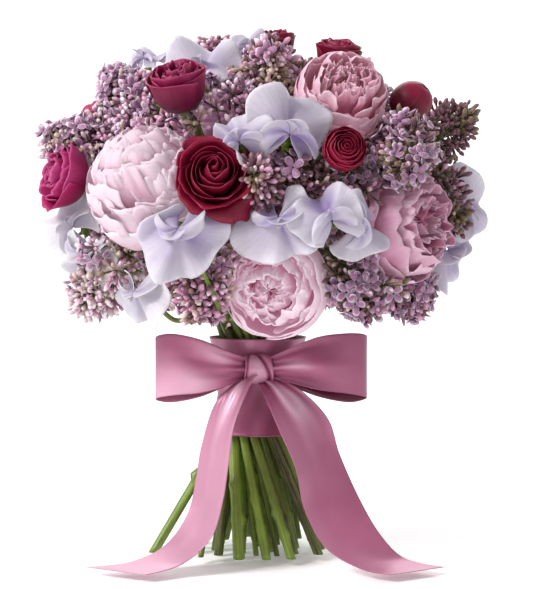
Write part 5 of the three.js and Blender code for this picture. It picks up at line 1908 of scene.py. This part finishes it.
# ---- the studio
class Studio:
    """The floor, the soft lights and the camera at the picture's place."""

    def make(self) -> None:
        """Builds the stage and the camera."""
        self.make_floor()
        self.make_lights()
        self.make_camera()

    def make_floor(self) -> None:
        """A plain pale floor that rises softly behind the bouquet."""
        run = np.array([(-3000, 0), (-1000, 0), (900, 0), (1700, 90), (2400, 420), (2900, 1000),
                        (3150, 1800), (3200, 3200)], float)
        line = through(run, np.linspace(0, 1, 60))
        wide = np.array([-5000.0, 5000.0])
        points = xyz(wide[None, :], line[:, :1], line[:, 1:])
        body = Body()
        body.add(points, [grid_faces(60, 2)])
        tree = Tree("pale_floor")
        grain = tree.noise(tree.place(), 3.0, 2.0)
        colour = tree.blend(grain, (0.90, 0.90, 0.90, 1.0), (0.93, 0.93, 0.93, 1.0))
        pale = tree.surface(Base_Color=colour, Roughness=0.9, Emission_Color=colour,
                            Emission_Strength=0.2)
        floor = body.build("studio_floor", [pale])
        floor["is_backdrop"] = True

    def make_lights(self) -> None:
        """A large key light from the upper left, a fill from the right and a pale sky."""
        world = bpy.data.worlds.new("studio_sky")
        world.use_nodes = True
        sky = world.node_tree.nodes["Background"]
        sky.inputs["Color"].default_value = (1.0, 1.0, 1.0, 1.0)
        sky.inputs["Strength"].default_value = 0.5
        bpy.context.scene.world = world
        for name, place, size, power in (
            ("key", (-1.3, -0.9, 1.3), 0.6, 33.0), ("fill", (1.3, -1.3, 0.6), 1.2, 1.5),
            ("back", (0.0, 1.9, 2.0), 2.4, 45.0),
        ):
            light = bpy.data.lights.new(name, "AREA")
            light.size = size
            light.energy = power
            lamp = bpy.data.objects.new(name, light)
            lamp.location = place
            lamp.rotation_euler = look_at(place, (0.0, 0.0, 0.2))
            bpy.context.scene.collection.objects.link(lamp)

    def make_camera(self) -> None:
        """The camera: level with the flowers, and as wide as the picture."""
        lens = bpy.data.cameras.new("camera")
        lens.sensor_fit = "HORIZONTAL"
        lens.sensor_width = 36.0
        lens.lens = lens.sensor_width * CAMERA_AWAY / (PHOTO_WIDTH * PHOTO_SCALE)
        camera = bpy.data.objects.new("camera", lens)
        eye, aim = np.array(EYE) + Layout.offset, np.array(AIM) + Layout.offset
        camera.location = eye / 1000.0
        camera.rotation_euler = look_at(eye, aim)
        bpy.context.scene.collection.objects.link(camera)
        bpy.context.scene.camera = camera


def look_at(eye: Sequence[float], aim: Sequence[float]) -> Triple:
    """Turns for a camera or lamp at one place that looks at another."""
    way = unit(np.array(aim, float) - np.array(eye, float))
    pitch = math.acos(-way[2])
    return pitch, 0.0, math.atan2(way[0], way[1]) * -1.0


# ---- the bouquet
PEONY_LOOKS = (
    (PeonyKind.POMPON, "peony_blush", "c98aa2", "d0b3c1", "ddcdd7", "c65f84", 0.3, 0.14,
     (8, -36)),
    (PeonyKind.CUP, "peony_pink", "d48eac", "e3bfd0", "f1e2ea", "bc4c78", 0.1, 0.18, (6, 10)),
    (PeonyKind.OPEN, "peony_mauve", "a8486c", "c88ca8", "e6c4d4", "a83a54", 0.0, 0.05, (0, 0)),
    (PeonyKind.OPEN, "peony_mauve", "b2506c", "d298ae", "eac8d4", "a84234", 0.0, 0.09, (0, 0)),
    (PeonyKind.CUP, "peony_mauve", "a8648c", "c08cb0", "d6acc6", "a0386a", 0.0, 0.1, (0, 0)),
    (PeonyKind.POMPON, "peony_blush", "e39cb4", "efc4d2", "f8dfe6", "c94f79", 0.3, 0.15, (0, 0)),
    (PeonyKind.CUP, "peony_pink", "d47c9c", "e6a8c0", "f2cbd9", "b52c60", 0.2, 0.12, (0, 0)),
)
# the first colour of each rose, at its petals' bases, is nearly black: partly its own deep red,
# partly painted shade deep in the bloom
ROSE_LOOKS = (
    (RoseKind.GOBLET, "rose_magenta", "460320", "780c3a", "a02f5c"),
    (RoseKind.GARDEN, "rose_red", "140106", "6a0322", "8e1036"),
    (RoseKind.SHELL, "rose_magenta", "64042f", "9c0a50", "bc4484"),
    # the fourth rose is darker: partly its own deep red, partly painted shade, for it sits in
    # shadow
    (RoseKind.SWIRL, "rose_red", "2a0108", "66031f", "941038"),
    (RoseKind.BALL, "rose_red", "56021e", "820832", "8e1440"),
    (RoseKind.GOBLET, "rose_red", "2c020d", "6c0828", "8c183c"),
    (RoseKind.GOBLET, "rose_red", "2c020d", "680824", "881634"),
    (RoseKind.GARDEN, "rose_magenta", "460320", "860d40", "b03864"),
    (RoseKind.SWIRL, "rose_red", "2c020d", "700828", "90183c"),
)


class Bouquet:
    """All the pieces, in the order in which they are built."""

    def make(self) -> None:
        """Builds stems, lilac, sweet peas, blooms and ribbon."""
        green = StemFinish("stem_green", "88a43c", "382e1a", 0.38).material()
        cut = CutFinish("stem_cut", "c9cf9c", "8a9a58").material()
        pedicel = StemFinish("pedicel_green", "8c8a52", "4a3c28").material()
        for k, bloom in enumerate(PEONY_BLOOMS):
            Stem(f"peony_stem_{k + 1}", bloom, PEONY_STEM, 0.2 * bloom.radius).make([green, cut])
        for k, (bloom, look) in enumerate(zip(ROSE_BLOOMS, ROSE_LOOKS)):
            lift = 0.1 if look[0] is RoseKind.GARDEN else 0.75
            Stem(f"rose_stem_{k + 1}", bloom, ROSE_STEM, 0.28 * bloom.radius,
                 lift).make([green, cut])
        bud = BudFinish("lilac_bud", "8a4c6a", "cf9cb8", "f3dfea", "a89c74", 0.14).material()
        # the brown buds' dark colours are partly painted shade on the heads at the right
        dusk = BudFinish("lilac_bud_dusk", "482630", "80525c", "ac818a", "7c7444").material()
        floret = FloretFinish("lilac_floret", "4a1c38", "a66f98", "ecd6e6").material()
        # dark leaves: partly their own deep green, partly painted shade deep in the head
        leaf = StemFinish("leaf_green", "5c6d34", "202a12").material()
        young = BudFinish("lilac_bud_young", "8b7c5c", "d4bec8", "f2eaee", "b2ab80", 0.14)
        wear = [green, cut, pedicel, bud, dusk, floret, leaf, young.material()]
        for k, panicle in enumerate(PANICLES):
            Lilac(k + 1, panicle).make(wear)
        SideSprays().make(wear)
        pea = PeaFinish("sweet_pea_petal", "907bae", "cac1d1", "ebe7ee").material()
        # the paler copy, worn by the two sprays at the left, is partly their own whiter colour and
        # partly painted light, for light through petals in the shade of a rose
        pale = PeaFinish("sweet_pea_petal_pale", "aca4bc", "d9d4dc", "f3f0f3").material()
        for k, spray in enumerate(SPRAYS):
            SweetPea(k + 1, spray).make([green, cut, pale if k in (5, 6) else pea])
        for k, (bloom, look) in enumerate(zip(PEONY_BLOOMS, PEONY_LOOKS)):
            kind, slot, base, middle, rim, fleck, flecks, glow, nod = look
            finish = PetalFinish(f"{slot}_{k + 1}", base, middle, rim, fleck, flecks, glow)
            Peony(k + 1, bloom, kind, finish, slot, nod).make()
        for k, (bloom, look) in enumerate(zip(ROSE_BLOOMS, ROSE_LOOKS)):
            kind, slot, base, middle, rim = look
            finish = PetalFinish(f"{slot}_{k + 1}", base, middle, rim, base, sheen=0.04,
                                 rough=0.42, glow=0.02, vein=0.25)
            Rose(k + 1, bloom, kind, finish, slot).make()
        # the last two colours are painted shade and a painted highlight
        satin = SatinFinish("satin_ribbon", "b8698b", "9c486c", "661c3b", "deb0c5")
        Ribbon(satin.material()).make()


def main() -> None:
    """Builds the scene, with the sizes of the imported parts read before it."""
    logging.basicConfig(level=logging.INFO, format="%(name)s %(message)s")
    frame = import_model()
    Layout.read(frame)
    bpy.context.scene.view_settings.view_transform = "Standard"
    Studio().make()
    Bouquet().make()
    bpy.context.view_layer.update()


if __name__ == "__main__":
    main()
